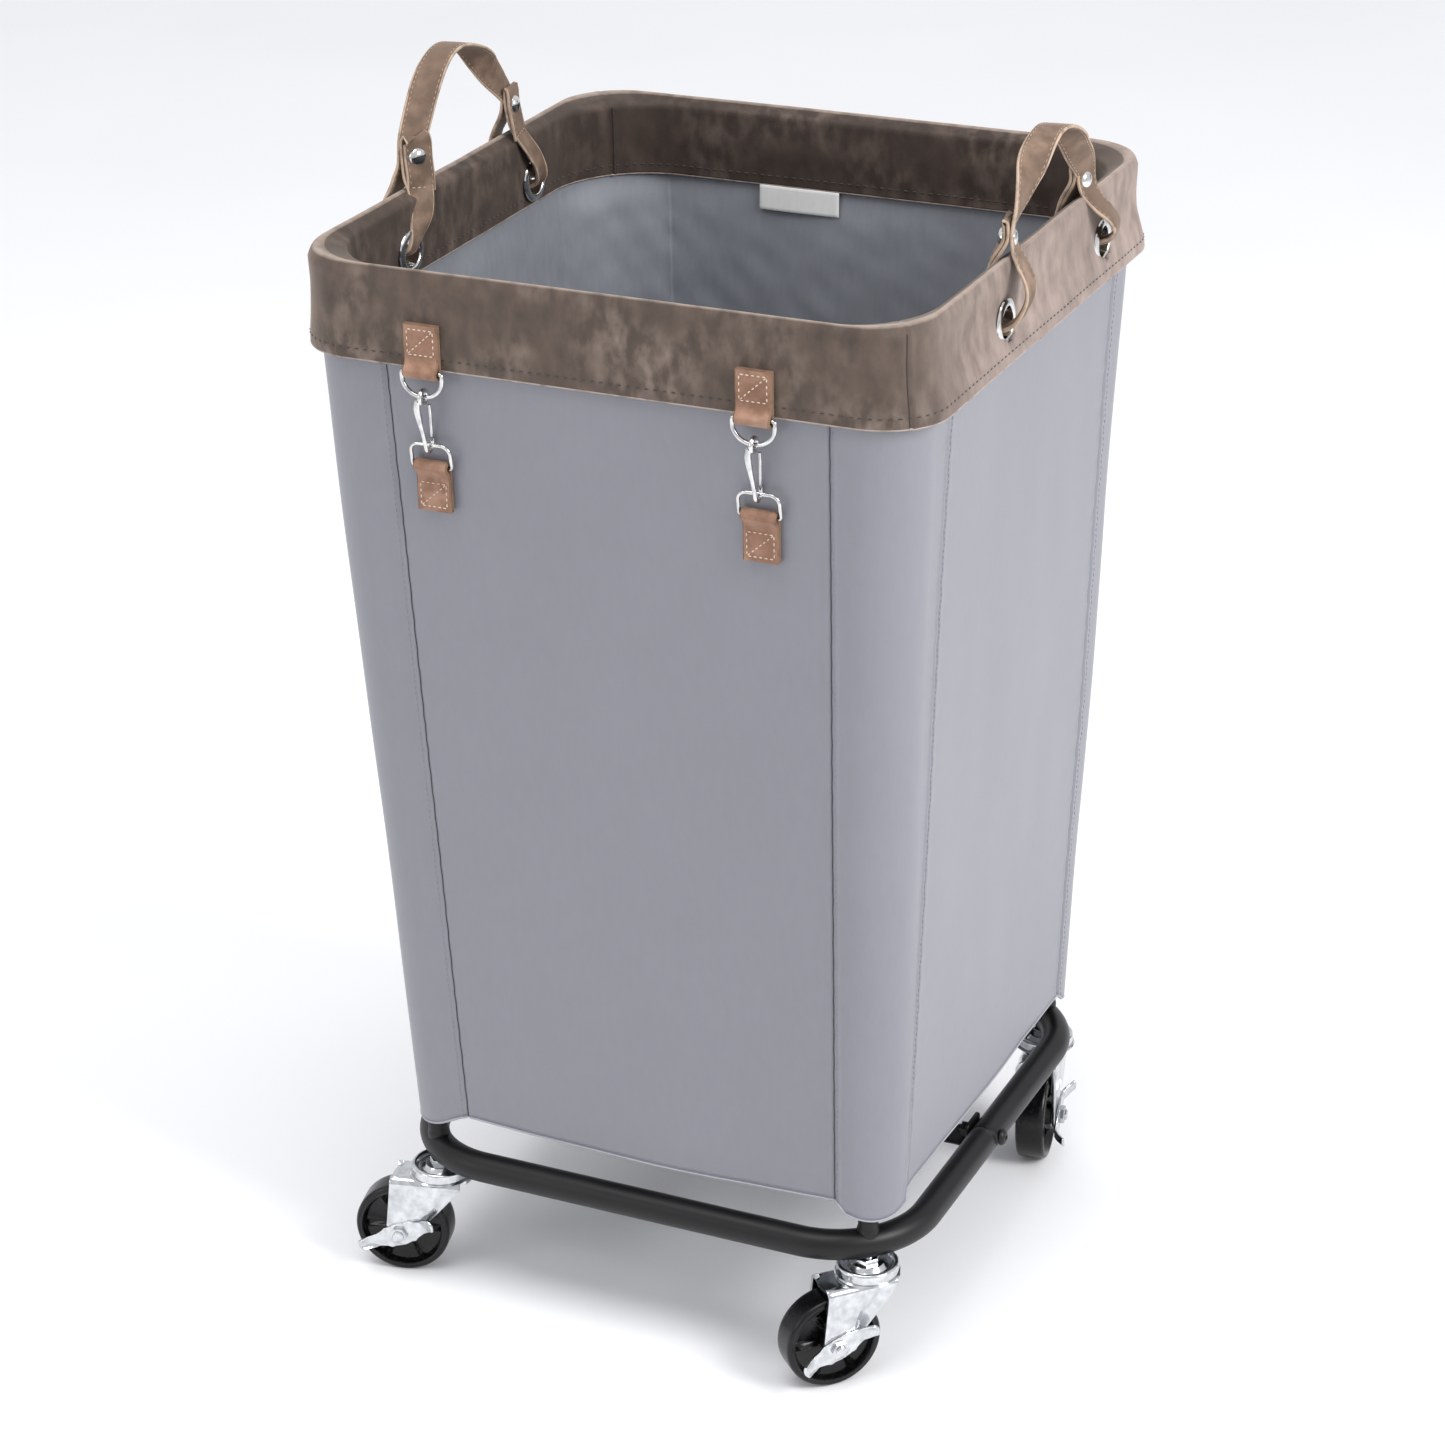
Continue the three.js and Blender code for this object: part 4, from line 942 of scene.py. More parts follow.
@dataclass
class BaseFrame:
    """Base ring in two halves, a cross bar with its bolts, four leaning posts and the rim's wire hoop."""

    ring_half: float = 182.4
    ring_corner: float = 65.0
    ring_height: float = 98.7
    tube_radius: float = 10.3
    joint_y: float = -16.0
    joint_gap: float = 0.3
    bolt_y: float = -7.0
    post_radius: float = 6.75
    post_foot: tuple[float, float] = (159.958, 166.53)
    post_head: float = 189.41
    post_top: float = 725.2
    head_height: float = 733.2
    bar_low: float = 90.2
    bar_thick: float = 2.5

    def half_loop(self, way: int, end_y: float) -> Array:
        """Middle line of one half of the ring: straight, two arcs of the corner radius, and straight back.

        Args:
            way: 1 for the rear half, -1 for the front one.
            end_y: where its ends stop.

        Returns:
            (n, 3) points.
        """
        reach = self.ring_half - self.ring_corner
        first = np.linspace(end_y, way * reach, 20)[:-1]
        a = np.linspace(0.0, math.pi / 2, 25)
        corner = np.stack([reach + self.ring_corner * np.cos(a), way * (reach + self.ring_corner * np.sin(a))], 1)
        right = np.concatenate([np.stack([np.full(19, self.ring_half), first], 1), corner])
        across = np.linspace(reach, -reach, 24)[1:-1]
        front = np.stack([across, np.full(22, way * self.ring_half)], 1)
        whole = np.concatenate([right, front, right[::-1] * (-1, 1)])
        return np.concatenate([whole, np.full((len(whole), 1), self.ring_height)], 1)

    def ring(self) -> None:
        """The two halves, each with eased ends, so that the joint shows as a thin line."""
        for name, way, end in (("front", -1, self.joint_y), ("rear", 1, self.joint_y + self.joint_gap)):
            path = self.half_loop(way, end)
            ends = [path[0] + (0, way * 0.6 * k, 0) for k in (0, 0.35, 1)]
            tail = [p * (-1, 1, 1) for p in reversed(ends)]
            path = np.concatenate([ends, path[1:-1], tail])
            radius = np.full(len(path), self.tube_radius)
            radius[[0, -1]] -= 0.6
            radius[[1, -2]] -= 0.2
            piece = make_piece("base_ring_" + name, tube(path, radius, 40), [BLACK_STEEL])
            fit(piece, "root", BLACK_STEEL, "ring_" + name)

    def post_point(self, x: int, y: int, z: float) -> Array:
        """The point on a post's axis at a height, on the line from its foot to its head.

        Args:
            x: 1 for a right post, -1 for a left one.
            y: 1 for a rear post, -1 for a front one.
            z: the height.

        Returns:
            The point.
        """
        t = (z - self.ring_height) / (self.head_height - self.ring_height)
        foot = np.array(self.post_foot)
        return np.array([*(np.array([x, y]) * (foot + t * (self.post_head - foot))), z])

    def posts(self) -> None:
        """Each post is a tube with a weld bead where it meets the ring."""
        for name, x, y in CORNERS:
            low, high = self.post_point(x, y, self.ring_height + 3), self.post_point(x, y, self.post_top)
            share = np.array([0.0, 0.0105, 0.0125, 0.0150, 0.0175, 0.4, 0.998, 1.0])
            swell = np.array([0.9, 0.9, 0.9, 0.5, 0.0, 0.0, 0.0, -0.5])
            path = low + share[:, None] * (high - low)
            piece = make_piece("post_tube_" + name, tube(path, self.post_radius + swell, 32), [BLACK_STEEL], 50)
            fit(piece, "root", BLACK_STEEL, "post_" + name)

    def cross_bar(self) -> None:
        """A flat bar whose ends are bent up into lugs: its section is carried along an L at each end."""
        end = self.ring_half - self.tube_radius - 0.3 - self.bar_thick / 2
        low = self.bar_low + self.bar_thick / 2
        bend, top = 3.0, self.ring_height + 8.0
        right = [(end - bend - 60.0, low), (end - bend, low)]
        right += arc(end - bend, low + bend, bend, -90, 0, 7)[1:] + [(end, low + 7.0), (end, top - 2), (end, top)]
        line = np.array([(-x, z) for x, z in reversed(right)] + [(x, z) for x, z in right])
        path = np.stack([line[:, 0], np.full(len(line), self.bolt_y + 2.4), line[:, 1]], 1)
        across = np.broadcast_to([0.0, 1.0, 0.0], path.shape)
        width = np.full(len(path), 24.0)
        width[[0, -1]] = 20.0
        patches = ribbon(path, across, width, self.bar_thick, np.zeros(len(path)), 0, 0)
        fit(make_piece("flat_cross_bar", patches, [BLACK_STEEL], 50), "root", BLACK_STEEL, "cross_bar")

    def bolts(self) -> None:
        """Button-head screws through ring and lug, with a hex socket outside and a hex nut inside."""
        out = self.tube_radius + 0.3
        head = [(0.0, out + 1.6), (1.7, out + 1.6), (1.9, out + 3.4), (3.4, out + 3.3)]
        head += [(4.9, out + 2.5), (5.8, out + 1.2), (6.0, out), (3.0, out)]
        shank = [(3.0, -out - 2.8), (3.0, -out - 10.0), (2.4, -out - 11.0), (0.0, -out - 11.0)]
        nut = [(3.0, -out - 3.1), (5.6, -out - 3.1), (5.9, -out - 3.5)]
        nut += [(5.9, -out - 7.6), (5.5, -out - 8.0), (3.0, -out - 8.0)]
        for name, way in (("right", 1), ("left", -1)):
            place = shift(way * self.ring_half, self.bolt_y, self.ring_height) @ spin("Y", 90.0 * way)
            patches = [turning(head + shank, 32), turning(nut, 6)]
            piece = make_piece("joint_screw_" + name, [p.moved(place) for p in patches], [BLACK_STEEL], 30)
            fit(piece, "root", BLACK_STEEL, "joint_bolt_" + name)

    def build(self) -> None:
        """Builds the frame and gives the hidden hoop its finish."""
        self.ring()
        self.posts()
        self.cross_bar()
        self.bolts()
        paint_node("rim_hoop", BLACK_STEEL)


# Each corner's name, and the signs of its X and Y.
CORNERS = (("front_right", 1, -1), ("front_left", -1, -1), ("rear_right", 1, 1), ("rear_left", -1, 1))
# How far each caster is turned about its stem, in degrees from +X.
SWIVELS = {"front_right": 226.7, "front_left": 193.7, "rear_right": 280.7, "rear_left": 48.0}


def paint_node(name: str, finish: Finish) -> None:
    """Gives a solid that stays as it is a procedural finish.

    Args:
        name: the solid's name.
        finish: its finish.
    """
    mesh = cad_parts[name].data
    mesh.materials.clear()
    mesh.materials.append(finish.material())


# ---- Casters ----


@dataclass
class Caster:
    """Swivel caster: dished race cup, pressed fork, wheel on an axle bolt, and a rocker brake beside it."""

    name: str
    x: float
    y: float
    swivel: float
    wheel_radius: float = 33.5
    wheel_half: float = 10.75
    trail: float = 28.3
    fork_half: float = 12.55
    plate: float = 2.5
    fork_top: float = 75.9
    race_radius: float = 21.0
    top: float = 88.4
    pedal_tilt: float = 22.0

    def upright(self) -> Array:
        """Where the swivel axis stands, turned to the trail."""
        return shift(self.x, self.y, 0) @ spin("Z", self.swivel)

    def on_axle(self) -> Array:
        """The wheel's frame: its Z is the axle, pointing to the brake's side."""
        return self.upright() @ shift(self.trail, 0, self.wheel_radius) @ spin("X", -90)

    def race(self) -> None:
        """Cup with a rolled lip, a raised track, a bearing ring and the stem's nut."""
        t = self.top
        cup = [(0, t + 12), (3.9, t + 12), (4.0, t - 0.3), (4.0, t - 3.0)]
        cup += [(11.0, t - 3.6), (12.2, t - 5.4), (13.6, t - 6.6), (16.0, t - 6.4)]
        cup += arc(19.0, t - 5.2, 2.0, 150, -20, 8) + [(21.0, t - 8.0), (20.6, t - 12.0)]
        cup += [(17.5, t - 12.3), (5.0, t - 12.3), (0, t - 12.3)]
        collar = [(4.0, t - 0.2), (7.6, t - 0.2), (8.2, t - 0.8), (8.2, t - 4.6), (4.0, t - 4.6)]
        patches = [turning(cup, 64), turning(collar, 6)]
        rim = turning([(18.0, t - 12.2), (21.6, t - 12.2), (22.2, t - 11.4), (21.6, t - 10.6), (18.0, t - 10.6)], 64)
        pin = turning([(0, 69.1), (5.5, 69.1), (7.6, 69.9), (8.0, 71.0), (8.0, 71.4), (5.0, 71.6), (5.0, 76.2)], 32)
        place = self.upright()
        piece = make_piece("race_cup_" + self.name, [p.moved(place) for p in [*patches, rim, pin]], [ZINC], 35)
        fit(piece, "root", ZINC, "caster_stem_" + self.name)

    def fork_sheet(self) -> Patch:
        """The pressed fork as one sheet: rows go down one leg, and columns run from its rear edge to its front edge.

        A row at height z below the axle is a chord of the boss circle, and above it spans straight lines that open
        up to the top plate. A shoulder of 4.5 mm joins leg and plate. Ribs stand out by a bell across each leg.

        Returns:
            The sheet's middle surface, in the swivel's frame.
        """
        middle = self.fork_half + self.plate / 2
        top = self.fork_top - self.plate / 2
        round_off = 4.5
        axle, boss = self.wheel_radius, 10.0
        low = axle - boss * np.cos(np.linspace(0.0, math.pi / 2, 9))
        leg_z = np.concatenate([low, np.linspace(axle, top - round_off, 14)[1:]])
        turn = np.linspace(0.0, math.pi / 2, 7)[1:]
        y_leg = np.concatenate([np.full(len(leg_z), middle), middle - round_off + round_off * np.cos(turn)])
        z_leg = np.concatenate([leg_z, top - round_off + round_off * np.sin(turn)])
        y_top = np.linspace(middle - round_off, -(middle - round_off), 16)[1:-1]
        y = np.concatenate([y_leg, y_top, -y_leg[::-1]])
        z = np.concatenate([z_leg, np.full(14, top), z_leg[::-1]])
        opened = np.clip((z - axle) / (top - round_off - axle), 0.0, 1.0)
        chord = np.sqrt(np.maximum(0.0, boss**2 - np.minimum(0.0, z - axle) ** 2))
        plate_back = -np.sqrt(np.maximum(0.0, (self.race_radius + 0.6) ** 2 - y**2))
        leg_back = self.trail - chord - (self.trail - boss + 15.5) * opened**0.9
        rear = np.where(z > top - 0.01, plate_back, np.minimum(leg_back, self.trail))
        front_leg = self.trail + chord - 4.0 * opened
        front = np.where(z > top - 0.01, 34.5 - 0.012 * y**2, front_leg)
        share = np.linspace(0.0, 1.0, 19)
        x = rear[:, None] + share * (front - rear)[:, None]
        side = np.where(np.abs(y) > middle - 0.5, np.sign(y), 0.0)
        rib = 1.3 * bump(share - 0.5, 0.16) * (ease(0.12, 0.4, opened) * (1 - ease(0.86, 1.0, opened)))[:, None]
        boss_swell = 1.2 * bump(np.hypot(x - self.trail, (z - axle)[:, None]), 8.0)
        y_full = y[:, None] + side[:, None] * (rib + boss_swell)
        drop = np.where(z[:, None] > top - 0.01, ease(26.0, 35.0, x) * 3.0, 0.0)
        return grid(np.stack(np.broadcast_arrays(x, y_full, z[:, None] - drop), -1))

    def fork(self) -> None:
        """The fork with its thickness and softened edges."""
        piece = make_piece("pressed_fork_" + self.name, [self.fork_sheet().moved(self.upright())], [ZINC], 50)
        thicken(piece, self.plate, 0.0)
        soften(piece, 0.5)
        fit(piece, "fork_" + self.name, ZINC, "caster_fork_" + self.name)

    def axle(self) -> None:
        """Domed bolt head on the left and a hex nut with the bolt's end on the right."""
        left, right = -self.fork_half - self.plate - 0.3, 17.75
        bolt = [(0, left - 4.2), (2.6, left - 4.0), (5.0, left - 2.9), (6.4, left - 1.2), (6.6, left)]
        bolt += [(4.0, left), (4.0, right + 4.2), (3.2, right + 5.0), (0, right + 5.0)]
        nut = [(4.0, right), (6.1, right), (6.5, right + 0.4)]
        nut += [(6.5, right + 2.9), (6.0, right + 3.3), (4.0, right + 3.3)]
        patches = [turning(bolt, 32), turning(nut, 6)]
        piece = make_piece("axle_bolt_" + self.name, [p.moved(self.on_axle()) for p in patches], [ZINC], 30)
        fit(piece, "fork_" + self.name, ZINC, "caster_axle_" + self.name)

    def wheel(self) -> None:
        """One turned profile: tread, thin raised bead, dished web and hub.

        Six ribs stand out of the web by exp(-(sin 3a / 0.22) squared).
        """
        r, h = self.wheel_radius, self.wheel_half
        side = [(4.4, h + 1.3), (7.6, h + 1.3), (8.2, h + 0.7), (8.5, h - 3.0), (9.2, h - 5.0)]
        side += [(12.0, h - 5.4), (16.0, h - 5.4), (20.0, h - 5.4), (24.0, h - 5.4)]
        side += [(26.4, h - 5.0), (27.4, h - 3.4), (28.0, h - 1.0), (28.6, h - 0.2), (29.3, h)]
        side += [(29.8, h - 0.5), (30.2, h - 0.6)] + arc(r - 2.9, h - 3.3, 2.9, 76, 12, 6) + [(r, h - 5.0), (r, 0.0)]
        whole = side + [(a, -b) for a, b in reversed(side[:-1])] + [side[0]]
        patch = turning(whole, 120)
        around = np.arctan2(patch.points[:, 1], patch.points[:, 0])
        radius = np.hypot(patch.points[:, 0], patch.points[:, 1])
        spoke = bump(np.sin(3.0 * around), 0.22) * ease(10.0, 12.0, radius) * (1.0 - ease(24.0, 26.2, radius))
        patch.points[:, 2] += np.sign(patch.points[:, 2]) * 3.4 * spoke * (np.abs(patch.points[:, 2]) < h - 3.2)
        patch = patch.moved(self.on_axle())
        piece = make_piece("caster_tyre_" + self.name, [patch], [WHEEL_BLACK], 35)
        fit(piece, "wheel_" + self.name, WHEEL_BLACK, "caster_wheel_" + self.name)

    def pedal(self) -> None:
        """Rocker: a leaf-shaped pressed plate with a boss, whose two ends curl out into treads.

        Half its height at u (-1..1) is 3.4 + 5.4 (1 - u u) ** 2.2, with lobes at |u| = 0.34 and wide ends. The ends
        stand out by 8 ((|u| - 0.62) / 0.38) ** 1.3.
        """
        u = np.linspace(-1.0, 1.0, 57)[:, None]
        v = np.linspace(-1.0, 1.0, 17)[None, :]
        half = 3.4 + 5.4 * (1 - u**2) ** 2.2 + 1.0 * bump(np.abs(u) - 0.34, 0.07) + 1.2 * ease(0.62, 0.8, np.abs(u))
        x = 28.5 * u * (1 - 0.06 * v**2)
        z = half * v * np.where(v > 0, 0.86, 1.0)
        curl = np.clip((np.abs(u) - 0.62) / 0.38, 0.0, 1.0) ** 1.3
        emboss = 1.1 * bump(np.hypot(x, z), 7.5) + 0.7 * bump(np.abs(u) - 0.55, 0.1) * bump(v, 0.5)
        y = 16.4 + 8.0 * curl + emboss + 0 * v
        sheet = grid(np.stack(np.broadcast_arrays(x, y, z + 2.4 * curl), -1))
        place = self.upright() @ shift(self.trail, 0, self.wheel_radius) @ spin("Y", self.pedal_tilt)
        piece = make_piece("rocker_brake_" + self.name, [sheet.moved(place)], [ZINC], 50)
        thicken(piece, 1.9, 0.0)
        soften(piece, 0.4)
        fit(piece, "pedal_" + self.name, ZINC, "brake_pedal_" + self.name)

    def build(self) -> None:
        """Builds all five parts."""
        self.race()
        self.fork()
        self.axle()
        self.wheel()
        self.pedal()


# ---- Bag ----


@dataclass
class EyeletHole:
    """Where an eyelet goes through both walls of a side."""

    side: int
    y: float
    z: float = 709.0
    # Only faces further out than this lie on the side's own walls.
    wall_from: float = 150.0

    def hits(self, middles: Array, radius: float) -> Array:
        """Which face middles lie within the hole's radius on this side of the bag."""
        near = np.hypot(middles[:, 1] - self.y, middles[:, 2] - self.z) < radius
        return near & (middles[:, 0] * self.side > self.wall_from)


EYELETS = {
    "left_front": EyeletHole(-1, -75.0),
    "left_rear": EyeletHole(-1, 99.0),
    "right_front": EyeletHole(1, -65.0),
    "right_rear": EyeletHole(1, 109.0),
}


def punched(patch: Patch, radius: float = 11.6) -> Patch:
    """The patch without the faces inside the eyelets' holes, whose ragged edge the flanges cover.

    Args:
        patch: the patch.
        radius: radius of the holes.

    Returns:
        The patch with its holes.
    """
    middles = patch.points[patch.faces].mean(1)
    gone = np.zeros(len(middles), bool)
    for hole in EYELETS.values():
        gone |= hole.hits(middles, radius)
    return Patch(patch.points, patch.faces[~gone], patch.flat, patch.finish)


@dataclass
class Bag:
    """Cloth bag: four flat panels, four corner wraps over the posts, a liner, a base board and a sewn label."""

    hem: float = 134.0
    tip_drop: float = 14.0
    top: float = 733.2
    base_half: float = 179.95
    top_half: float = 207.7
    base_corner: float = 30.0
    top_corner: float = 37.7
    wall: float = 1.2
    floor: float = 136.55
    # Seams are drawn up to here, a little above the rim band's lower edge.
    seams_end: float = 686.0
    # Seam distances from the middle of each side, low end and high end: right, rear, left, front.
    seam_low: tuple[tuple[float, float], ...] = ((147.0, 136.0), (136.0, 136.0), (136.0, 136.0), (129.5, 142.0))
    seam_high: tuple[tuple[float, float], ...] = ((142.0, 148.0), (148.0, 148.0), (148.0, 148.0), (146.0, 155.0))

    def half(self, z: Array) -> Array:
        """Half the outside width at a height."""
        return self.base_half + (self.top_half - self.base_half) * (z - self.hem) / (self.top - self.hem)

    def seams(self, share: Array) -> Array:
        """Seam distances at shares 0..1 of the height."""
        low, high = np.array(self.seam_low), np.array(self.seam_high)
        return low + share[:, None, None] * (high - low)

    def shell_points(self, loop: SquareLoop) -> tuple[Array, Array]:
        """The outer cloth and its outward directions.

        The hem hangs at 134 mm, sags by 4 (1 - b b) under the front panel, and drops to the tips by a cosine over
        each wrap. Outwards go a panel's belly, the seam's groove and fold, puckers beside the seams, and soft waves.

        Args:
            loop: the places round the bag.

        Returns:
            Both as (rows, n, 3).
        """
        share = np.concatenate([np.linspace(0.0, 0.03, 5)[:-1], np.linspace(0.03, 1.0, 96)])
        b, turn = np.abs(loop.b), loop.turn
        in_wrap = np.clip(b - 1.0, 0.0, 1.0)
        around = np.where(turn > 0, 0.25 + 0.5 * turn / (math.pi / 2), 0.25 * in_wrap)
        tip = np.sin(np.pi * np.clip(around, 0.0, 1.0)) ** 1.25 * (in_wrap > 0)
        sag = np.array([1.5, 1.0, 1.5, 4.0])[loop.side] * np.maximum(0.0, 1.0 - b**2)
        hem = self.hem - sag - self.tip_drop * tip
        z = hem + share[:, None] * (self.top - hem)
        height = (z - self.hem) / (self.top - self.hem)
        half = self.half(z)
        corner = self.base_corner + (self.top_corner - self.base_corner) * height.mean(1, keepdims=True)
        seams = self.seams(share)
        points = loop.points(half, corner, seams, z)
        normals = loop.normals()
        reach = half - corner
        seam = np.where(loop.b < 0, seams[:, loop.side, 0], seams[:, loop.side, 1])
        away = np.abs(loop.along(reach, seams)) - seam
        away = np.where(turn > 0, 60.0, away)
        up = np.sin(np.pi * np.clip(height, 0.0, 1.0))
        belly = 1.8 * np.maximum(0.0, 1.0 - b**2) * up
        seam_line = -1.1 * bump(away, 1.0) + 0.7 * bump(away - 2.8, 1.6) + 0.2 * bump(away + 3.0, 2.2)
        phase = 1.7 * unevenness(points, 60.0, 13)
        pucker = 0.38 * np.exp(-np.abs(away) / 8.0) * np.sin(2 * np.pi * z / 19.0 + phase)
        waves = 0.7 * unevenness(points * (1.0, 1.0, 0.5), 130.0, 11)
        waves = waves + 0.16 * unevenness(points * (1, 1, 0.4), 30.0, 12)
        pull = 0.3 * np.exp(-((z - hem) / 26.0)) * np.sin(loop.along(reach, seams) / 17.0) * (b < 2)
        held = 1.0 - 0.8 * ease(690.0, 720.0, z)
        out = (belly + waves + pull) * held + (seam_line + pucker) * (1.0 - ease(684.0, 700.0, z))
        points[..., :2] += out[..., None] * normals
        outward = np.broadcast_to(np.concatenate([normals, np.zeros((len(normals), 1))], 1), points.shape)
        return points, outward

    def shell(self) -> None:
        """The outer cloth, open below over the posts, with the stitches of its seams, dark tubes in them as painted
        shadow, and its turned hem.
        """
        loop = SquareLoop(panel=72, wrap=16, bend=14)
        points, outward = self.shell_points(loop)
        piece = make_piece("bag_outer_cloth", [punched(grid(points, round_columns=True))], [BAG_CLOTH], 60)
        thicken(piece, self.wall)
        fit(piece, "root", BAG_CLOTH, "bag")
        rows, seam_shadow_tubes = [], []
        visible = points[:, 0, 2] < self.seams_end
        for column in np.flatnonzero(np.isclose(np.abs(loop.b), 1.0) & (loop.turn == 0)):
            way = int(np.sign(loop.b[column]))
            line, out = points[visible, column], outward[visible, column]
            # A dark tube along each seam: painted shadow in its groove.
            seam_shadow_tubes += tube(line + out * 0.12, 0.42, 8)
            line = line + unit(points[visible, column + way] - line) * 3.6
            rows.append(seam_stitches(line + out * 0.45, out, 2.8, 1.3, 0.24))
        fit(make_piece("bag_seam_stitches", rows, [GREY_THREAD], 60), "root", GREY_THREAD)
        fit(make_piece("bag_seam_painted_shadow", seam_shadow_tubes, [SEAM_SHADOW], 60), "root", SEAM_SHADOW)
        edge = tube(points[0] - outward[0] * 0.6 + (0, 0, 0.2), 0.95, 10, closed=True)
        fit(make_piece("bag_turned_hem", edge, [HEM_CLOTH], 60), "root", HEM_CLOTH)

    def liner_points(self) -> Array:
        """The liner: flat walls between the seams, and a curve across each corner that passes inside the post.

        The corner is a quadratic curve from one seam to the next: (1-t)(1-t) P + 2 t (1-t) C + t t Q.

        Returns:
            (rows, n, 3).
        """
        z = np.linspace(self.floor, self.top - 1.0, 110)[:, None]
        height = (z - self.hem) / (self.top - self.hem)
        half = self.half(z) - 2.6
        seam = 136.0 + 11.0 * height
        fold = 158.0 + 24.0 * height + 1.8 * ease(668.0, 690.0, z)
        b = np.sin(np.linspace(-1.0, 1.0, 90) * math.pi / 2)[None, :]
        t = np.linspace(0.0, 1.0, 22)[None, 1:-1]
        wall_x, wall_y = half + 0.0 * b, seam * b
        control = 2.0 * fold - (half + seam) / 2.0
        corner_x = (1 - t) ** 2 * half + 2 * t * (1 - t) * control + t**2 * seam
        corner_y = (1 - t) ** 2 * seam + 2 * t * (1 - t) * control + t**2 * half
        away = np.concatenate([seam - np.abs(wall_y), np.full(corner_x.shape, 40.0)], 1)
        x, y = np.concatenate([wall_x, corner_x], 1), np.concatenate([wall_y, corner_y], 1)
        crease = 0.7 * bump(away, 1.3) + 0.45 * np.exp(-away / 8.0) * np.sin(2 * np.pi * z / 21.0)
        x = x - crease * (away < 39)
        quarters = [np.stack(np.broadcast_arrays(x, y, z), -1) @ spin("Z", 90.0 * k)[:3, :3].T for k in range(4)]
        points = np.concatenate(quarters, 1)
        inward = -unit(points * (1, 1, 0))
        hollow = 1.4 * unevenness(points * (1.0, 1.0, 0.4), 70.0, 21) + 0.5 * unevenness(points, 24.0, 22) + 1.0
        easing = (1.0 - ease(664.0, 690.0, z)) * ease(self.floor, self.floor + 25.0, z)
        return points + inward * (hollow * easing)[..., None]

    def liner(self) -> None:
        """The liner with its floor."""
        points = self.liner_points()
        wall = punched(grid(points, round_columns=True))
        piece = make_piece("bag_liner_cloth", [wall, lid(points[0])], [LINER_CLOTH], 60)
        thicken(piece, 0.7, 1.0)
        fit(piece, "root", LINER_CLOTH)

    def label(self) -> None:
        """A plain woven label on the rear wall, just under the rim leather, sewn at its two ends."""
        x = np.linspace(-73.7, -13.7, 25)[None, :]
        z = np.linspace(673.5, 691.0, 9)[:, None]
        y = self.half(z) - 5.6 - 0.5 * np.sin(np.pi * (x + 73.7) / 60.0) + 0 * z
        piece = make_piece("woven_label", [grid(np.stack(np.broadcast_arrays(x, y, z), -1))], [LABEL_TAPE], 60)
        thicken(piece, 0.5, 0.0)
        soften(piece, 0.15, 1)
        fit(piece, "root", LABEL_TAPE)

    def build(self) -> None:
        """Builds the cloth and dresses the board."""
        self.shell()
        self.liner()
        self.label()
        paint_node("base_board", BOARD_CLOTH)


# ---- Rim band ----


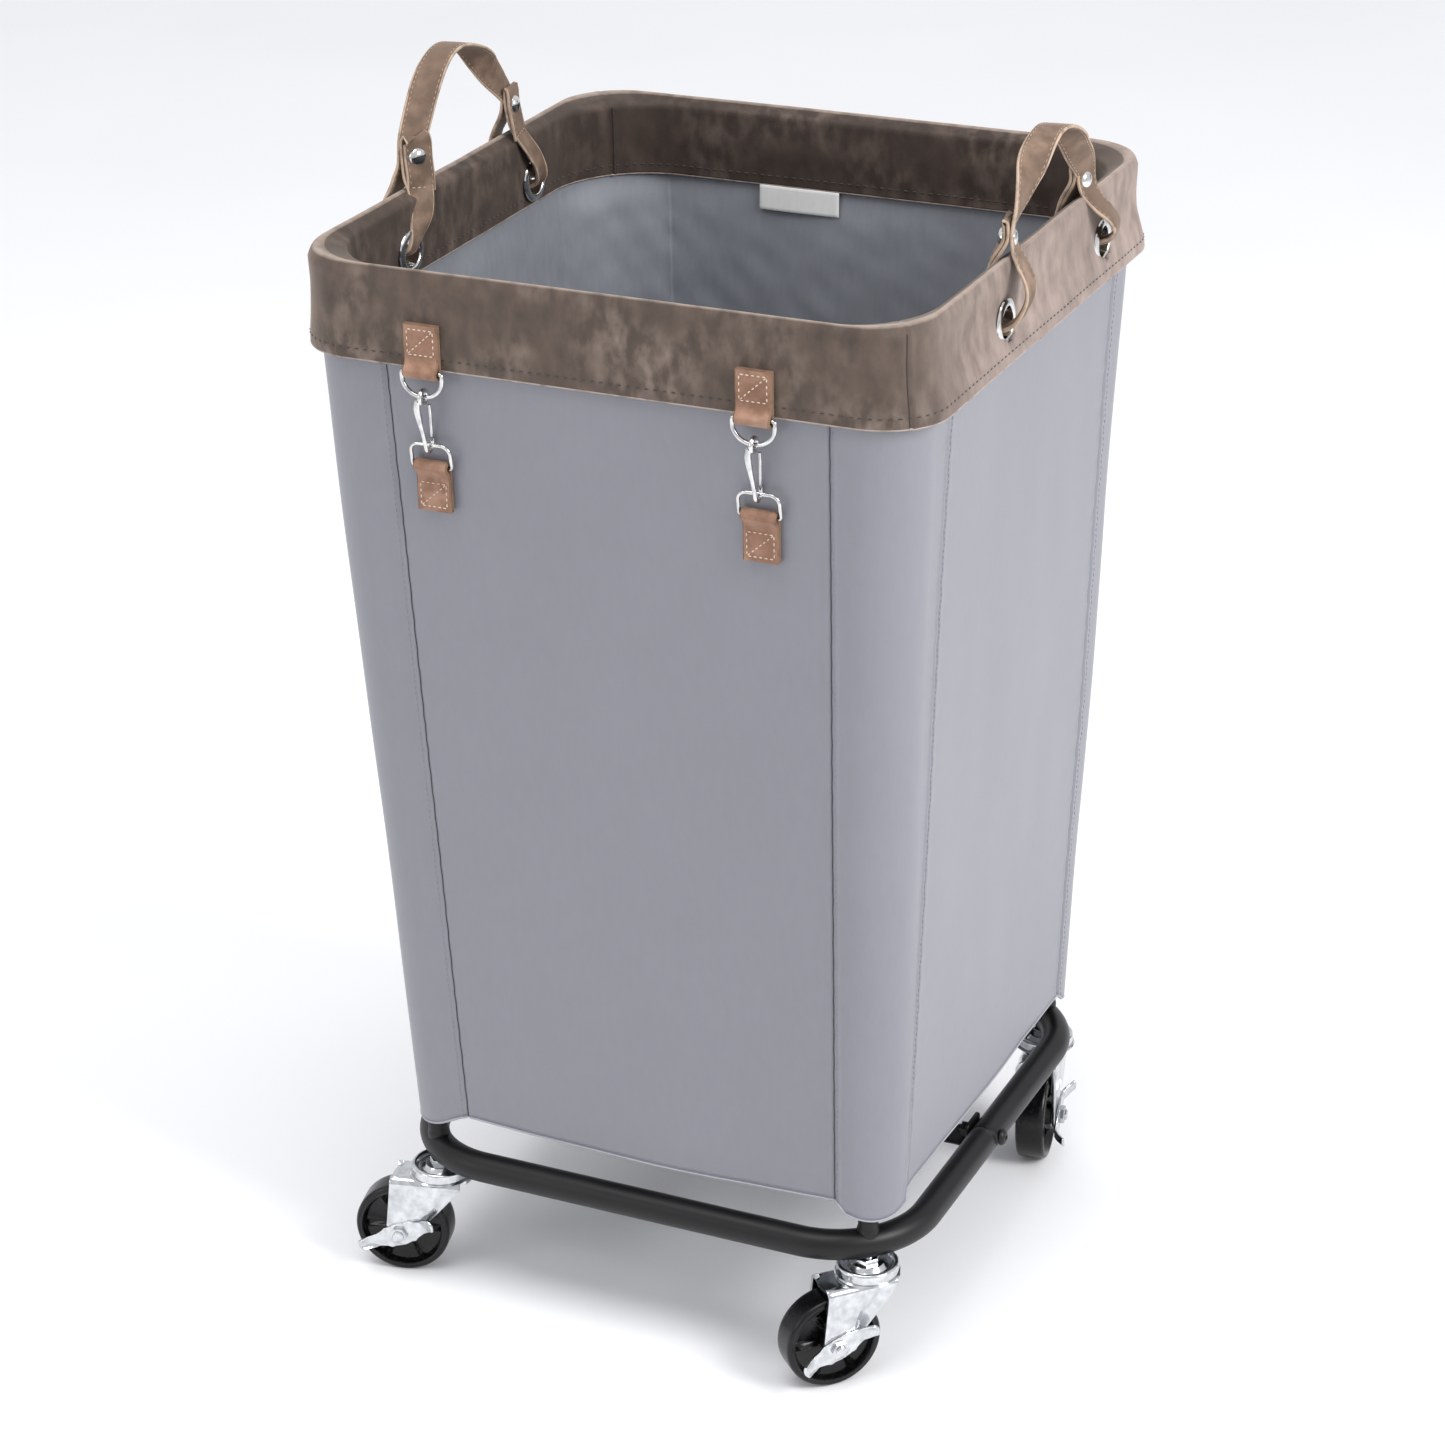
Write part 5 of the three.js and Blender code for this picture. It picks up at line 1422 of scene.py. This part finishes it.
@dataclass
class RimBand:
    """A leather sleeve folded over the hoop: outer skirt, rolled top and shorter inner skirt."""

    half: float = 210.0
    inner_half: float = 197.4
    corner: float = 40.0
    inner_corner: float = 59.8
    top: float = 746.5
    drop: float = 62.0
    inner_drop: float = 55.0
    skin: float = 2.0
    crest: float = 0.18
    slope: float = 5.5
    # Rows of points up the outer skirt and over the top, and the row where the darker inside finish begins, painted
    # shade for the shadowed inside.
    outer_rows: int = 24
    top_rows: int = 17
    shaded_finish_row: int = 33
    # Corner seams: the angle of each from +X in degrees, and whether it is on the outside.
    seam_places: tuple[tuple[float, bool], ...] = ((-42.0, True), (132.0, False), (132.0, True), (-42.0, False))

    def profile(self) -> tuple[Array, Array, Array, Array]:
        """Half size, corner radius, height and share inside, from the outer edge over the top to the inner one.

        Over the top, at share w across, it is top - roll (1 - w / crest) squared up to the crest, and from there
        top - slope ((w - crest) / (1 - crest)) ** 1.5: a crest near the outer face, and a slope to the inner one.

        Returns:
            The four, each (rows, 1).
        """
        roll = (self.half - self.inner_half) / 2
        spring = self.top - roll
        low, inner_low = self.top - self.drop, self.top - self.inner_drop
        z_out = np.concatenate([np.linspace(low, low + 4, 5)[:-1], np.linspace(low + 4, spring, self.outer_rows - 4)])
        w = np.linspace(0.0, 1.0, self.top_rows + 2)[1:-1] ** 1.4
        rise = np.maximum(0.0, 1.0 - w / self.crest) ** 2
        fall = np.clip((w - self.crest) / (1.0 - self.crest), 0.0, 1.0) ** 1.5
        down = np.linspace(self.top - self.slope - 0.6, inner_low + 4, 18)
        z_in = np.concatenate([down, np.linspace(inner_low + 4, inner_low, 4)[1:]])
        z = np.concatenate([z_out, self.top - roll * rise - self.slope * fall, z_in])
        over = self.half - 2 * roll * w
        half = np.concatenate([np.full(len(z_out), self.half), over, np.full(len(z_in), self.inner_half)])
        inside = np.concatenate([np.zeros(len(z_out)), w, np.ones(len(z_in))])
        corner = self.corner + (self.inner_corner - self.corner) * inside
        return half[:, None], corner[:, None], z[:, None], inside[:, None]

    def surface(self, loop: SquareLoop) -> tuple[Array, Array]:
        """The band's outside surface and its outward directions.

        The outer skirt is pinched below the hoop, flares at its free edge, most on the right, and both skirts wave.
        The inner skirt leans out to the liner. Each corner seam is a narrow groove beside a raised fold.

        Args:
            loop: the places round the band.

        Returns:
            Both as (rows, n, 3).
        """
        half, corner, z, inside = self.profile()
        points = loop.points(half, corner, even_seams(len(z), 110.0), z)
        normals = loop.normals()
        nx, ny = normals[:, 0], normals[:, 1]
        outer = 1.0 - ease(0.0, 1.0, inside)
        reach = 6.0 * np.maximum(nx, 0) ** 2 + 2.0 * np.maximum(-nx, 0) ** 2 + 3.0 * np.maximum(ny, 0) ** 2 + 0.2
        flare = reach * (1.0 - ease(685.0, 714.0, z))
        pinch = -0.55 * bump(z - 724.0, 11.0)
        lean = 2.4 * (1.0 - ease(690.0, 722.0, z)) * inside * (1.0 - 1.8 * np.abs(nx * ny))
        soft = 0.5 * unevenness(points * (1, 1, 0.5), 110.0, 31) + 0.16 * unevenness(points, 34.0, 32)
        calm = 1.0 - 0.75 * bump(ny + 1.0, 0.6)
        angle = np.arctan2(ny, nx)
        out = outer * (flare + pinch) + lean + soft * calm * np.where(inside > 0.5, 0.8, 1.0)
        for at, on_outside in self.seam_places:
            away = (angle - math.radians(at)) * (self.corner if on_outside else self.inner_corner)
            groove = -0.9 * bump(away, 1.1) + 0.7 * bump(away - 2.6, 1.7)
            out = out + groove * (outer if on_outside else inside)
        points[..., :2] += out[..., None] * normals
        sign = np.where(inside > 0.5, -1.0, 1.0)[..., None]
        outward = np.concatenate([normals, np.zeros((len(normals), 1))], 1)[None] * sign
        return points, np.broadcast_to(outward, points.shape)

    def build(self) -> None:
        """The sleeve, darkened inside as painted shade, its pale folded edges, its rows of stitches and the dark cord
        in each corner seam.
        """
        loop = SquareLoop(panel=110, wrap=24, bend=40)
        points, outward = self.surface(loop)
        change, inner = self.shaded_finish_row, self.outer_rows + self.top_rows
        outside, inside = points[: change + 1], points[change:]
        # From that row inwards the leather takes the darker finish, painted shade inside the rim.
        halves = [punched(grid(part, k, round_columns=True)) for k, part in enumerate((outside, inside))]
        sleeve = make_piece("rim_band_leather", halves, [BAND_LEATHER, BAND_INSIDE_SHADED], 70)
        thicken(sleeve, self.skin)
        fit(sleeve, "root", BAND_LEATHER, "rim_band")
        edges = [p for row in (0, -1) for p in tube(points[row] - outward[row] * 0.85, 0.95, 10, closed=True)]
        fit(make_piece("rim_band_folded_edge", edges, [BAND_FOLD], 60), "root", BAND_FOLD)
        z = points[:, 0, 2]
        rows = []
        outer_seam = (self.top - self.drop + 7.0, 0, self.outer_rows)
        inner_seam = (self.top - self.inner_drop + 6.0, inner, None)
        for wanted, first, last in (outer_seam, inner_seam):
            row = int(np.argmin(np.abs(z[first:last] - wanted))) + first
            line, out = (np.concatenate([part[row], part[row][:1]]) for part in (points, outward))
            rows.append(seam_stitches(line + out * 0.1, out, 3.4, 2.6, 0.5))
        angle = np.degrees(np.arctan2(loop.normals()[:, 1], loop.normals()[:, 0]))
        for at, on_outside in self.seam_places:
            column = int(np.argmin(np.abs(angle - at)))
            part = slice(1, self.outer_rows + 1) if on_outside else slice(inner, -1)
            rows += tube(points[part, column] + outward[part, column] * 0.1, 0.5, 8)
        fit(make_piece("rim_band_stitches", rows, [DARK_THREAD], 60), "root", DARK_THREAD)


# ---- Handles ----


@dataclass
class CarryHandle:
    """One leather strap: an arch over the rim whose ends pass outside, in through the eyelets, and snap onto it."""

    name: str
    side: int
    y: float
    apex: float
    yaw_front: float
    yaw_rear: float
    eyelet_reach: float = 87.0
    snap_reach: float = 65.4
    snap_height: float = 764.9
    sag: float = 0.0
    width: float = 20.0
    thick: float = 2.2
    # How far out the strap's middle, the snaps and the line it folds over stand, and how fine the strap is.
    arch_x: float = 206.0
    snap_x: float = 203.2
    fold_x: float = 205.0
    steps: int = 520

    def end_knots(self, end: int, yaw: float) -> Array:
        """One end, from the folded tip of its tab to the start of the arch.

        Each row holds distance from the middle plane, y, height, the width's direction as an angle from +Y towards
        outwards, the width, and the cup. Heights hang on the snap, and below it they run evenly to the eyelet. Where
        the snap is low, the tab leans inwards by the sag.

        Args:
            end: -1 for the front end, 1 for the rear one.
            yaw: how far the snap's layers are turned, in degrees.

        Returns:
            (n, 6).
        """
        s, e, top, hole = end * self.snap_reach, end * self.eyelet_reach, self.snap_height, 708.0
        tip, over = top - 22.0, top - 7.0

        def inside(share: float) -> float:
            """A height on the way from the tab's tip down to the eyelet."""
            return tip + share * (hole - tip)

        def outside(share: float) -> float:
            """A height on the way from under the outer cap down to the eyelet."""
            return over + share * (hole - over)

        rows = [
            (198.2 - self.sag, s + end * 3.0, tip - 0.4 * self.sag, yaw, 20.5, 0.0),
            (198.9 - 0.6 * self.sag, s + end * 1.5, top - 12.5, yaw, 20.5, 0.0),
            (200.6, s + end * 0.5, top, yaw, 20.5, 0.0),
            (200.9, s, top + 9.0, yaw, 20.5, 0.0),
            (202.4, s, top + 12.4, yaw, 20.5, 0.0),
            (203.6, s, top + 9.0, yaw, 20.5, 0.0),
            (203.2, s + end * 0.5, top, yaw, 20.5, 0.0),
            (201.6 - 0.6 * self.sag, s + end * 2.0, top - 12.0, yaw, 20.5, 0.0),
            (198.4 - 0.8 * self.sag, s + end * 4.0, tip + 1.0, yaw, 19.0, 0.0),
            (194.6 - 0.5 * self.sag, s + end * 9.0, inside(0.28), yaw * 0.8, 17.0, -0.8),
            (193.4 - 0.2 * self.sag, s + end * 15.0, inside(0.55), yaw * 0.5, 15.0, -2.0),
            (193.6, e - end * 2.5, inside(0.8), 0.0, 13.0, -3.0),
            (196.2, e, hole + 1.0, 0.0, 12.5, -3.2),
            (203.7, e, hole - 1.5, 0.0, 12.5, -3.2),
            (213.2, e + end * 0.5, hole + 1.0, 0.0, 13.0, -3.0),
            (219.0, e - end * 0.5, outside(0.84), -4.0, 15.0, -2.2),
            (222.0, e - end * 5.0, outside(0.62), -8.0, 18.0, -1.4),
            (219.6, e - end * 12.0, outside(0.4), -6.0, 20.0, -0.6),
            (213.6, s + end * 3.0, outside(0.19), yaw * 0.4, 20.0, 0.0),
            (208.2, s + end * 0.5, over, yaw * 0.8, 20.0, 0.0),
            (206.1, s, top + 1.0, yaw, 20.0, 0.0),
            (206.0, s - end * 1.5, top + 9.0, yaw, 20.0, 0.0),
        ]
        return np.array(rows)

    def knots(self) -> Array:
        """The whole strap as rows of x, y, z, the three parts of the width's direction, width and cup.

        The arch is a parabola: at u (-1..1) it is reach u - 5 (1 - u u) along Y, and apex - (apex - snap) u u high.

        Returns:
            (n, 8).
        """
        front, rear = self.end_knots(-1, self.yaw_front), self.end_knots(1, self.yaw_rear)
        u = np.array([-0.7, -0.54, -0.36, -0.16, 0.04, 0.24, 0.42, 0.58, 0.72])
        y = self.snap_reach * u - 5.0 * (1.0 - u**2)
        z = self.apex - (self.apex - self.snap_height) * u**2
        size = np.abs(u)
        foot = np.where(u < 0, self.yaw_front, self.yaw_rear)
        turn = foot + (86.0 - foot) * (1.0 - ease(0.05, 0.95, size)) ** 0.8
        lean = 1.0 - u**2
        arch = np.stack([self.arch_x + 2.0 * lean, y, z, turn, np.full(9, self.width), np.full(9, 0.35)], 1)
        rows = np.concatenate([front, arch, rear[::-1]])
        angle = np.radians(rows[:, 3])
        x = rows[:, 0] * self.side
        # An angle of 0 lies along +Y and 90 lies along +X, for both handles.
        across = np.stack([np.sin(angle), np.cos(angle), np.zeros(len(rows))], 1)
        return np.concatenate([x[:, None], rows[:, 1:2] + self.y, rows[:, 2:3], across, rows[:, 4:6]], 1)

    def strap(self) -> None:
        """The strap and the stitches down both edges of its arch, which bend at the fold over the rim."""
        line = curve_through(self.knots(), self.steps)
        path, across, width, cup = line[:, :3], line[:, 3:6], line[:, 6], line[:, 7]
        patches = ribbon(path, across, width, self.thick, cup, 0, 1)
        piece = make_piece("carry_strap_" + self.name, patches, [STRAP_LEATHER, STRAP_EDGE], 55)
        along = unit(np.gradient(path, axis=0))
        square = unit(across - (across * along).sum(1, keepdims=True) * along)
        normal = np.cross(along, square)
        rows = []
        # Only the arch has rows of stitches along its edges.
        keep = slice(150, 370)
        for s in (-1.0, 1.0):
            inset = s * (width / 2 - 2.4)
            for face in (-1.0, 1.0):
                lift = face * self.thick / 2 + cup * (inset / (width / 2)) ** 2
                edge = path + square * inset[:, None] + normal * lift[:, None]
                rows.append(seam_stitches(edge[keep], face * normal[keep], 2.4, 1.6, 0.27))
        for end in (-1, 1):
            rows += self.tab_seams(path, square, normal, end)
        stitching = make_piece("carry_strap_stitches_" + self.name, rows, [STRAP_THREAD], 60)
        for made in (piece, stitching):
            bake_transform(made)
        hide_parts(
            "handle_strap_" + self.name,
            f"strap_loop_{self.name}_front",
            f"strap_loop_{self.name}_rear",
        )

    def tab_seams(self, path: Array, square: Array, normal: Array, end: int) -> list[Patch]:
        """Stitches near a tab's folded end: one line over its width and one down each side of the fold.

        Args:
            path: the strap's middle line.
            square: directions of its width.
            normal: directions out of its face.
            end: -1 for the front end, 1 for the rear one.

        Returns:
            Three rows of stitches.
        """
        order = slice(None) if end < 0 else slice(None, None, -1)
        p, q, n = path[order], square[order], normal[order]
        run = np.concatenate([[0.0], np.cumsum(np.linalg.norm(np.diff(p, axis=0), axis=1))])
        # The fold's own layer faces the inside of the bag.
        inward = -np.sign((n[5] * (self.side, 0, 0)).sum())
        out = inward * n
        reach = 10.25 - 2.4
        at = int(np.argmin(np.abs(run - 2.6)))
        line = p[at] + np.linspace(-reach, reach, 12)[:, None] * q[at] + out[at] * self.thick / 2
        rows = [seam_stitches(line, np.broadcast_to(out[at], line.shape), 2.6, 1.2, 0.42)]
        keep = (run > 2.6) & (run < 30.0)
        for s in (-1.0, 1.0):
            side_line = p[keep] + s * reach * q[keep] + out[keep] * self.thick / 2
            rows.append(seam_stitches(side_line, out[keep], 2.4, 1.6, 0.27))
        return rows

    def snaps(self) -> None:
        """Ring snaps: a domed cap inside and another outside, both with a rolled edge."""
        for end_name, end, yaw in (("front", -1, self.yaw_front), ("rear", 1, self.yaw_rear)):
            cap = [(0.0, 5.6), (2.0, 5.45), (4.0, 4.9), (5.4, 3.9), (6.25, 2.7)]
            cap += [(6.35, 2.0), (5.9, 1.5), (4.0, 1.4), (0.0, 1.4)]
            inside = turning([(r, -h - 1.2) for r, h in cap], 40)
            outside = turning([(r, h + 0.4) for r, h in cap], 40)
            post = turning([(0, -2.6), (2.0, -2.6), (2.0, 1.8), (0, 1.8)], 16)
            at = (self.snap_x * self.side, self.y + end * self.snap_reach, self.snap_height)
            place = shift(*at) @ spin("Z", -yaw) @ spin("Y", 90.0 * self.side)
            patches = [p.moved(place) for p in (inside, outside, post)]
            piece = make_piece(f"snap_caps_{self.name}_{end_name}", patches, [NICKEL], 35)
            fit(piece, "handle_" + self.name, NICKEL, f"snap_{self.name}_{end_name}")

    def eyelets(self) -> None:
        """Eyelets: a barrel through both walls with a rolled flange at each face."""
        for end_name in ("front", "rear"):
            name = f"{self.name}_{end_name}"
            hole = EYELETS[name]
            outer, inner = 210.3, 197.1
            profile = [(9.7, inner + 1.0)] + arc(11.4, inner - 0.3, 1.6, 170, 262, 7)
            profile += [(13.4, inner - 1.6), (14.7, inner - 0.9), (15.0, inner + 0.1), (14.4, inner + 0.5)]
            far = [(14.4, outer - 0.5), (15.0, outer - 0.1), (14.7, outer + 0.9), (13.4, outer + 1.6)]
            far += arc(11.4, outer + 0.3, 1.6, 98, 190, 7) + [(9.7, outer - 1.0)]
            barrel = [(10.6, inner + 0.5), (10.6, outer - 0.5)]
            patch = turning(profile + barrel + far + [profile[0]], 56)
            place = shift(0, hole.y, hole.z) @ spin("Y", 90.0 * self.side)
            piece = make_piece("rolled_eyelet_" + name, [patch.moved(place)], [NICKEL], 35)
            fit(piece, "root", NICKEL, "eyelet_" + name)

    def build(self) -> None:
        """Builds strap, snaps and eyelets."""
        self.strap()
        self.snaps()
        self.eyelets()


# ---- Clip sets ----


@dataclass
class ClipSet:
    """A leather tab with a D-ring on the rim, a snap hook, and a square ring in a lower tab on the bag."""

    name: str
    x: float
    top: float = 683.3
    top_y: float = -214.6
    bottom: float = 619.3
    bottom_y: float = -207.22
    lean: float = 8.735
    span: float = 33.16
    bow: float = 16.0
    tab_width: float = 24.0
    tab_thick: float = 4.6
    loop_radius: float = 4.3
    d_half: float = 13.9
    square_half: float = 13.7
    square_rise: float = 15.4
    d_wire: float = 1.5
    square_wire: float = 1.3
    # Each tab's layer, the faces the tabs are sewn to, and their lengths when folded.
    layer: float = 2.2
    upper_back: float = 210.3
    lower_back: float = 202.92
    upper_length: float = 34.5
    lower_length: float = 34.0

    def tab(self, label: str, back: float, loop_z: float, length: float, way: int) -> None:
        """A strip folded round the ring's bar: up the back, round the wire, and down the front, then box-stitched.

        Args:
            label: upper or lower.
            back: y of the face it is sewn to, as a positive distance.
            loop_z: height of the ring's bar.
            length: length of the folded tab, with its loop.
            way: +1 with its loop at the top, -1 with it at the bottom.
        """
        layer = self.layer
        loop_y = back + self.loop_radius
        r = self.loop_radius - layer / 2
        end = loop_z - way * (length - self.loop_radius)
        near, far = back + layer / 2 + 0.05, back + self.tab_thick - layer / 2
        neck = loop_z - way * 6.5
        turn = [(y, loop_z + way * (z - loop_z)) for y, z in arc(loop_y, loop_z, r, 200, -20, 15)]
        half_way = end + (neck - end) * 0.5
        line = [(near, end), (near, half_way), (near, neck), *turn, (far, neck), (far, half_way), (far, end)]
        knots = np.array([(self.x, -y, z) for y, z in line])
        path = curve_through(knots, 110)
        across = np.broadcast_to([1.0, 0.0, 0.0], path.shape)
        zero = np.zeros(len(path))
        patches = ribbon(path, across, zero + self.tab_width, layer, zero, 0, 1)
        piece = make_piece(f"{label}_tab_leather_{self.name}", patches, [TAB_LEATHER, TAB_EDGE], 55)
        fit(piece, "root", TAB_LEATHER, f"{label}_tab_{self.name}")
        front = -(far + layer / 2)
        a, b = end + way * 3.0, neck - way * 4.5
        w = self.tab_width / 2 - 3.0
        low_z, high_z = min(a, b), max(a, b)
        corners = [(w, low_z), (w, high_z), (-w, high_z), (-w, low_z), (w, low_z), (-w, low_z), (w, high_z)]
        rows = []
        for (x0, z0), (x1, z1) in zip(corners[:-1], corners[1:]):
            t = np.linspace(0.0, 1.0, 20)[:, None]
            seam = np.concatenate([self.x + x0 + t * (x1 - x0), front + 0 * t, z0 + t * (z1 - z0)], 1)
            rows.append(seam_stitches(seam, np.broadcast_to([0.0, -1.0, 0.0], seam.shape), 2.3, 1.1, 0.47))
        fit(make_piece(f"{label}_tab_stitches_{self.name}", rows, [PALE_THREAD], 60), "root", TAB_LEATHER)

    def rings(self) -> None:
        """The D-ring hangs in its own plane; the square ring leans with the hook. Both are one bent wire."""
        a = np.linspace(0.0, -math.pi, 33)
        shoulder = self.bow / 4
        bow = np.stack([self.d_half * np.cos(a), 0 * a, -shoulder + (self.bow - shoulder) * np.sin(a)], 1)
        bar_x = np.linspace(-self.d_half + 1.2, self.d_half - 1.2, 12)
        bar = np.stack([bar_x, 0 * bar_x, 0 * bar_x], 1)
        corner = np.array([[-self.d_half, 0, -1.3], [-self.d_half + 0.35, 0, -0.4]])
        loop = np.concatenate([bow, corner, bar, corner[::-1] * (-1, 1, 1)]) + (self.x, self.top_y, self.top)
        piece = make_piece("d_ring_wire_" + self.name, tube(loop, self.d_wire, 16, closed=True), [NICKEL], 60)
        fit(piece, "d_ring_" + self.name, NICKEL, "d_ring_" + self.name)
        half, rise, bend = self.square_half, self.square_rise, 6.0
        top_right = np.array([(half - bend + x, rise - bend + z) for x, z in arc(0, 0, bend, 0, 90, 10)])
        foot = np.array([(half + 0.1, 1.4), (half - 0.3, 0.4), (half - 1.3, 0.0)])
        right = np.concatenate([foot[::-1], top_right])
        outline = np.concatenate([right, right[::-1] * (-1, 1)])
        flat = np.stack([outline[:, 0], 0 * outline[:, 0], outline[:, 1]], 1)
        place = shift(self.x, self.bottom_y, self.bottom) @ spin("X", self.lean)
        wire = [p.moved(place) for p in tube(flat, self.square_wire, 16)]
        inside = make_piece("square_ring_wire_" + self.name, wire, [NICKEL], 60)
        low = np.stack([np.linspace(-half + 1.4, half - 1.4, 8), np.zeros(8), np.zeros(8)], 1)
        fit(inside, "square_ring_" + self.name, NICKEL, "square_ring_" + self.name)
        lower = [p.moved(place) for p in tube(low, self.square_wire, 16)]
        bar_piece = make_piece("square_ring_bar_" + self.name, lower, [NICKEL], 60)
        fit(bar_piece, "square_ring_" + self.name, NICKEL)

    def hook(self) -> None:
        """Snap hook: an eye, a thick lever that tapers down to a small round nose, and a thin gate behind it."""
        place = shift(self.x, self.top_y, self.top - self.bow) @ spin("X", self.lean)
        a = np.linspace(0.0, 2 * math.pi, 32, endpoint=False)
        eye = np.stack([0 * a, 4.3 * np.cos(a), 4.3 * np.sin(a)], 1)
        turn = np.radians(np.linspace(180, 360, 14))
        nose = np.stack([0 * turn, 4.3 * np.cos(turn), 4.3 * np.sin(turn) - self.span], 1)
        spine = np.array([(-1.6, -4.3, -1.0), (-2.2, -4.9, -6.0), (-1.6, -5.0, -14.0), (-0.5, -4.7, -24.0)])
        tip = np.array([(0, 4.3, 3.0 - self.span)])
        path = curve_through(np.concatenate([spine, nose, tip]), 60)
        run = np.linspace(0.0, 1.0, 60)
        radius = 1.35 + 1.0 * bump(run - 0.13, 0.2) + 0.3 * bump(run - 1.0, 0.05)
        body = tube(eye, 1.5, 16, closed=True) + tube(path, radius, 18)
        piece = make_piece("snap_hook_body_" + self.name, [p.moved(place) for p in body], [NICKEL], 60)
        fit(piece, "hook_" + self.name, NICKEL, "snap_hook_" + self.name)
        gate_path = np.array([(1.9, 3.0, -6.3), (1.7, 3.35, -12.0), (0.9, 3.8, -20.0), (0, 4.3, 3.5 - self.span)])
        gate_line = curve_through(gate_path, 24)
        gate = tube(gate_line, np.full(24, 1.05), 14)
        piece = make_piece("hook_gate_bar_" + self.name, [p.moved(place) for p in gate], [NICKEL], 60)
        fit(piece, "gate_" + self.name, NICKEL, "hook_gate_" + self.name)

    def build(self) -> None:
        """Builds both tabs, both rings and the hook."""
        self.tab("upper", self.upper_back, self.top, self.upper_length, -1)
        self.tab("lower", self.lower_back, self.bottom, self.lower_length, 1)
        self.rings()
        self.hook()


# ---- Studio ----


@dataclass
class Studio:
    """Pale floor, soft light from big panels, and the camera."""

    lens_mm: float = 95.12
    place: tuple[float, float, float] = (0.99417, -2.14010, 1.46098)
    azimuth: float = 25.28
    elevation: float = 24.68
    roll: float = -1.19

    def camera(self) -> None:
        """Looks along the azimuth and elevation, rolled about its own axis."""
        a, e, r = (math.radians(v) for v in (self.azimuth, self.elevation, self.roll))
        back = np.array([math.sin(a) * math.cos(e), -math.cos(a) * math.cos(e), math.sin(e)])
        right = unit(np.cross(-back, (0, 0, 1)))
        up = np.cross(right, -back)
        turned_right = math.cos(r) * right + math.sin(r) * up
        turned_up = -math.sin(r) * right + math.cos(r) * up
        data = bpy.data.cameras.new("camera")
        data.lens, data.sensor_width = self.lens_mm, 36.0
        camera = bpy.data.objects.new("camera", data)
        camera.matrix_world = facing(turned_right, turned_up, back, self.place)
        bpy.context.scene.collection.objects.link(camera)
        bpy.context.scene.camera = camera

    def panel(self, name: str, at: tuple[float, float, float], size: float, watts: float) -> None:
        """A square light panel that faces the bag.

        Args:
            name: its name.
            at: its place in metres.
            size: its side in metres.
            watts: its power.
        """
        data = bpy.data.lights.new(name, "AREA")
        data.size, data.energy = size, watts
        light = bpy.data.objects.new(name, data)
        way = unit(np.array(at) - np.array([0.0, 0.0, 0.4]))
        side = unit(np.cross((0, 0, 1), way))
        light.matrix_world = facing(side, np.cross(way, side), way, at)
        bpy.context.scene.collection.objects.link(light)

    def flag(self, name: str, x: float, y: float, degrees: float) -> None:
        """A narrow black card out of the picture, whose dark streak in bright metal shows its shape.

        Args:
            name: its name.
            x: its place along X, in metres.
            y: its place along Y, in metres.
            degrees: how far it is turned.
        """
        w, h = 260.0, 1500.0
        points = np.array([[[-w, 0, 120], [w, 0, 120]], [[-w, 0, h], [w, 0, h]]], float)
        place = shift(x / MM, y / MM, 0) @ spin("Z", degrees)
        piece = make_piece("black_flag_" + name, [grid(points).moved(place)], [PowderCoat("black_flag_card")])

    def floor(self) -> None:
        """A pale, matt floor with a faint grain."""
        points = np.array([[[-9000, -9000, 0], [9000, -9000, 0]], [[-9000, 9000, 0], [9000, 9000, 0]]], float)
        piece = make_piece("studio_floor", [grid(points)], [FloorPaint("matt_floor_paint")])

    def build(self) -> None:
        """Sets up world, lights, floor and camera."""
        scene = bpy.context.scene
        scene.view_settings.view_transform = "Standard"
        world = bpy.data.worlds.new("studio")
        world.use_nodes = True
        background = world.node_tree.nodes["Background"]
        background.inputs["Color"].default_value = linear("#fbfcff")
        background.inputs["Strength"].default_value = 0.85
        scene.world = world
        self.panel("key_right", (2.7, -0.5, 2.2), 1.3, 76.0)
        self.panel("top", (-0.3, -0.8, 3.2), 1.8, 36.0)
        self.panel("front_left", (-2.2, -2.8, 1.6), 1.2, 14.0)
        self.flag("left", -2.6, -1.9, 60.0)
        self.flag("right", 1.9, 2.7, -35.0)
        self.floor()
        self.camera()


@dataclass(frozen=True)
class FloorPaint(Finish):
    """Matt white floor paint: even and nearly without shine."""

    def paint(self, tree: bpy.types.NodeTree, shader: bpy.types.Node) -> None:
        """A tone that hardly wanders over half a metre.

        Args:
            tree: the material's nodes.
            shader: its shader.
        """
        tone = self.cells(tree, self.place(tree), 500, 2)
        body = blended(tree, ramp(tree, tone, 0.3, 0.7), linear("#f4f4f5"), linear("#f7f7f8"))
        tree.links.new(body, shader.inputs["Base Color"])
        shader.inputs["Roughness"].default_value = 0.8
        shader.inputs["Specular IOR Level"].default_value = 0.2


def main() -> None:
    """Builds every sub-assembly in order."""
    logging.basicConfig(level=logging.INFO, format="%(name)s %(message)s")
    Studio().build()
    BaseFrame().build()
    foot_x, foot_y = BaseFrame().post_foot
    for name, x, y in CORNERS:
        Caster(name, x * foot_x, y * foot_y, SWIVELS[name]).build()
    Bag().build()
    RimBand().build()
    left = CarryHandle("left", -1, 13.5, 824.0, 34.0, -8.0, snap_height=766.5, snap_reach=66.0, eyelet_reach=87.5)
    right = CarryHandle("right", 1, 22.0, 809.0, -16.0, 14.0, snap_height=755.5, sag=8.0)
    left.build()
    right.build()
    ClipSet("left", -114.0).build()
    ClipSet("right", 109.0).build()


if __name__ == "__main__":
    main()
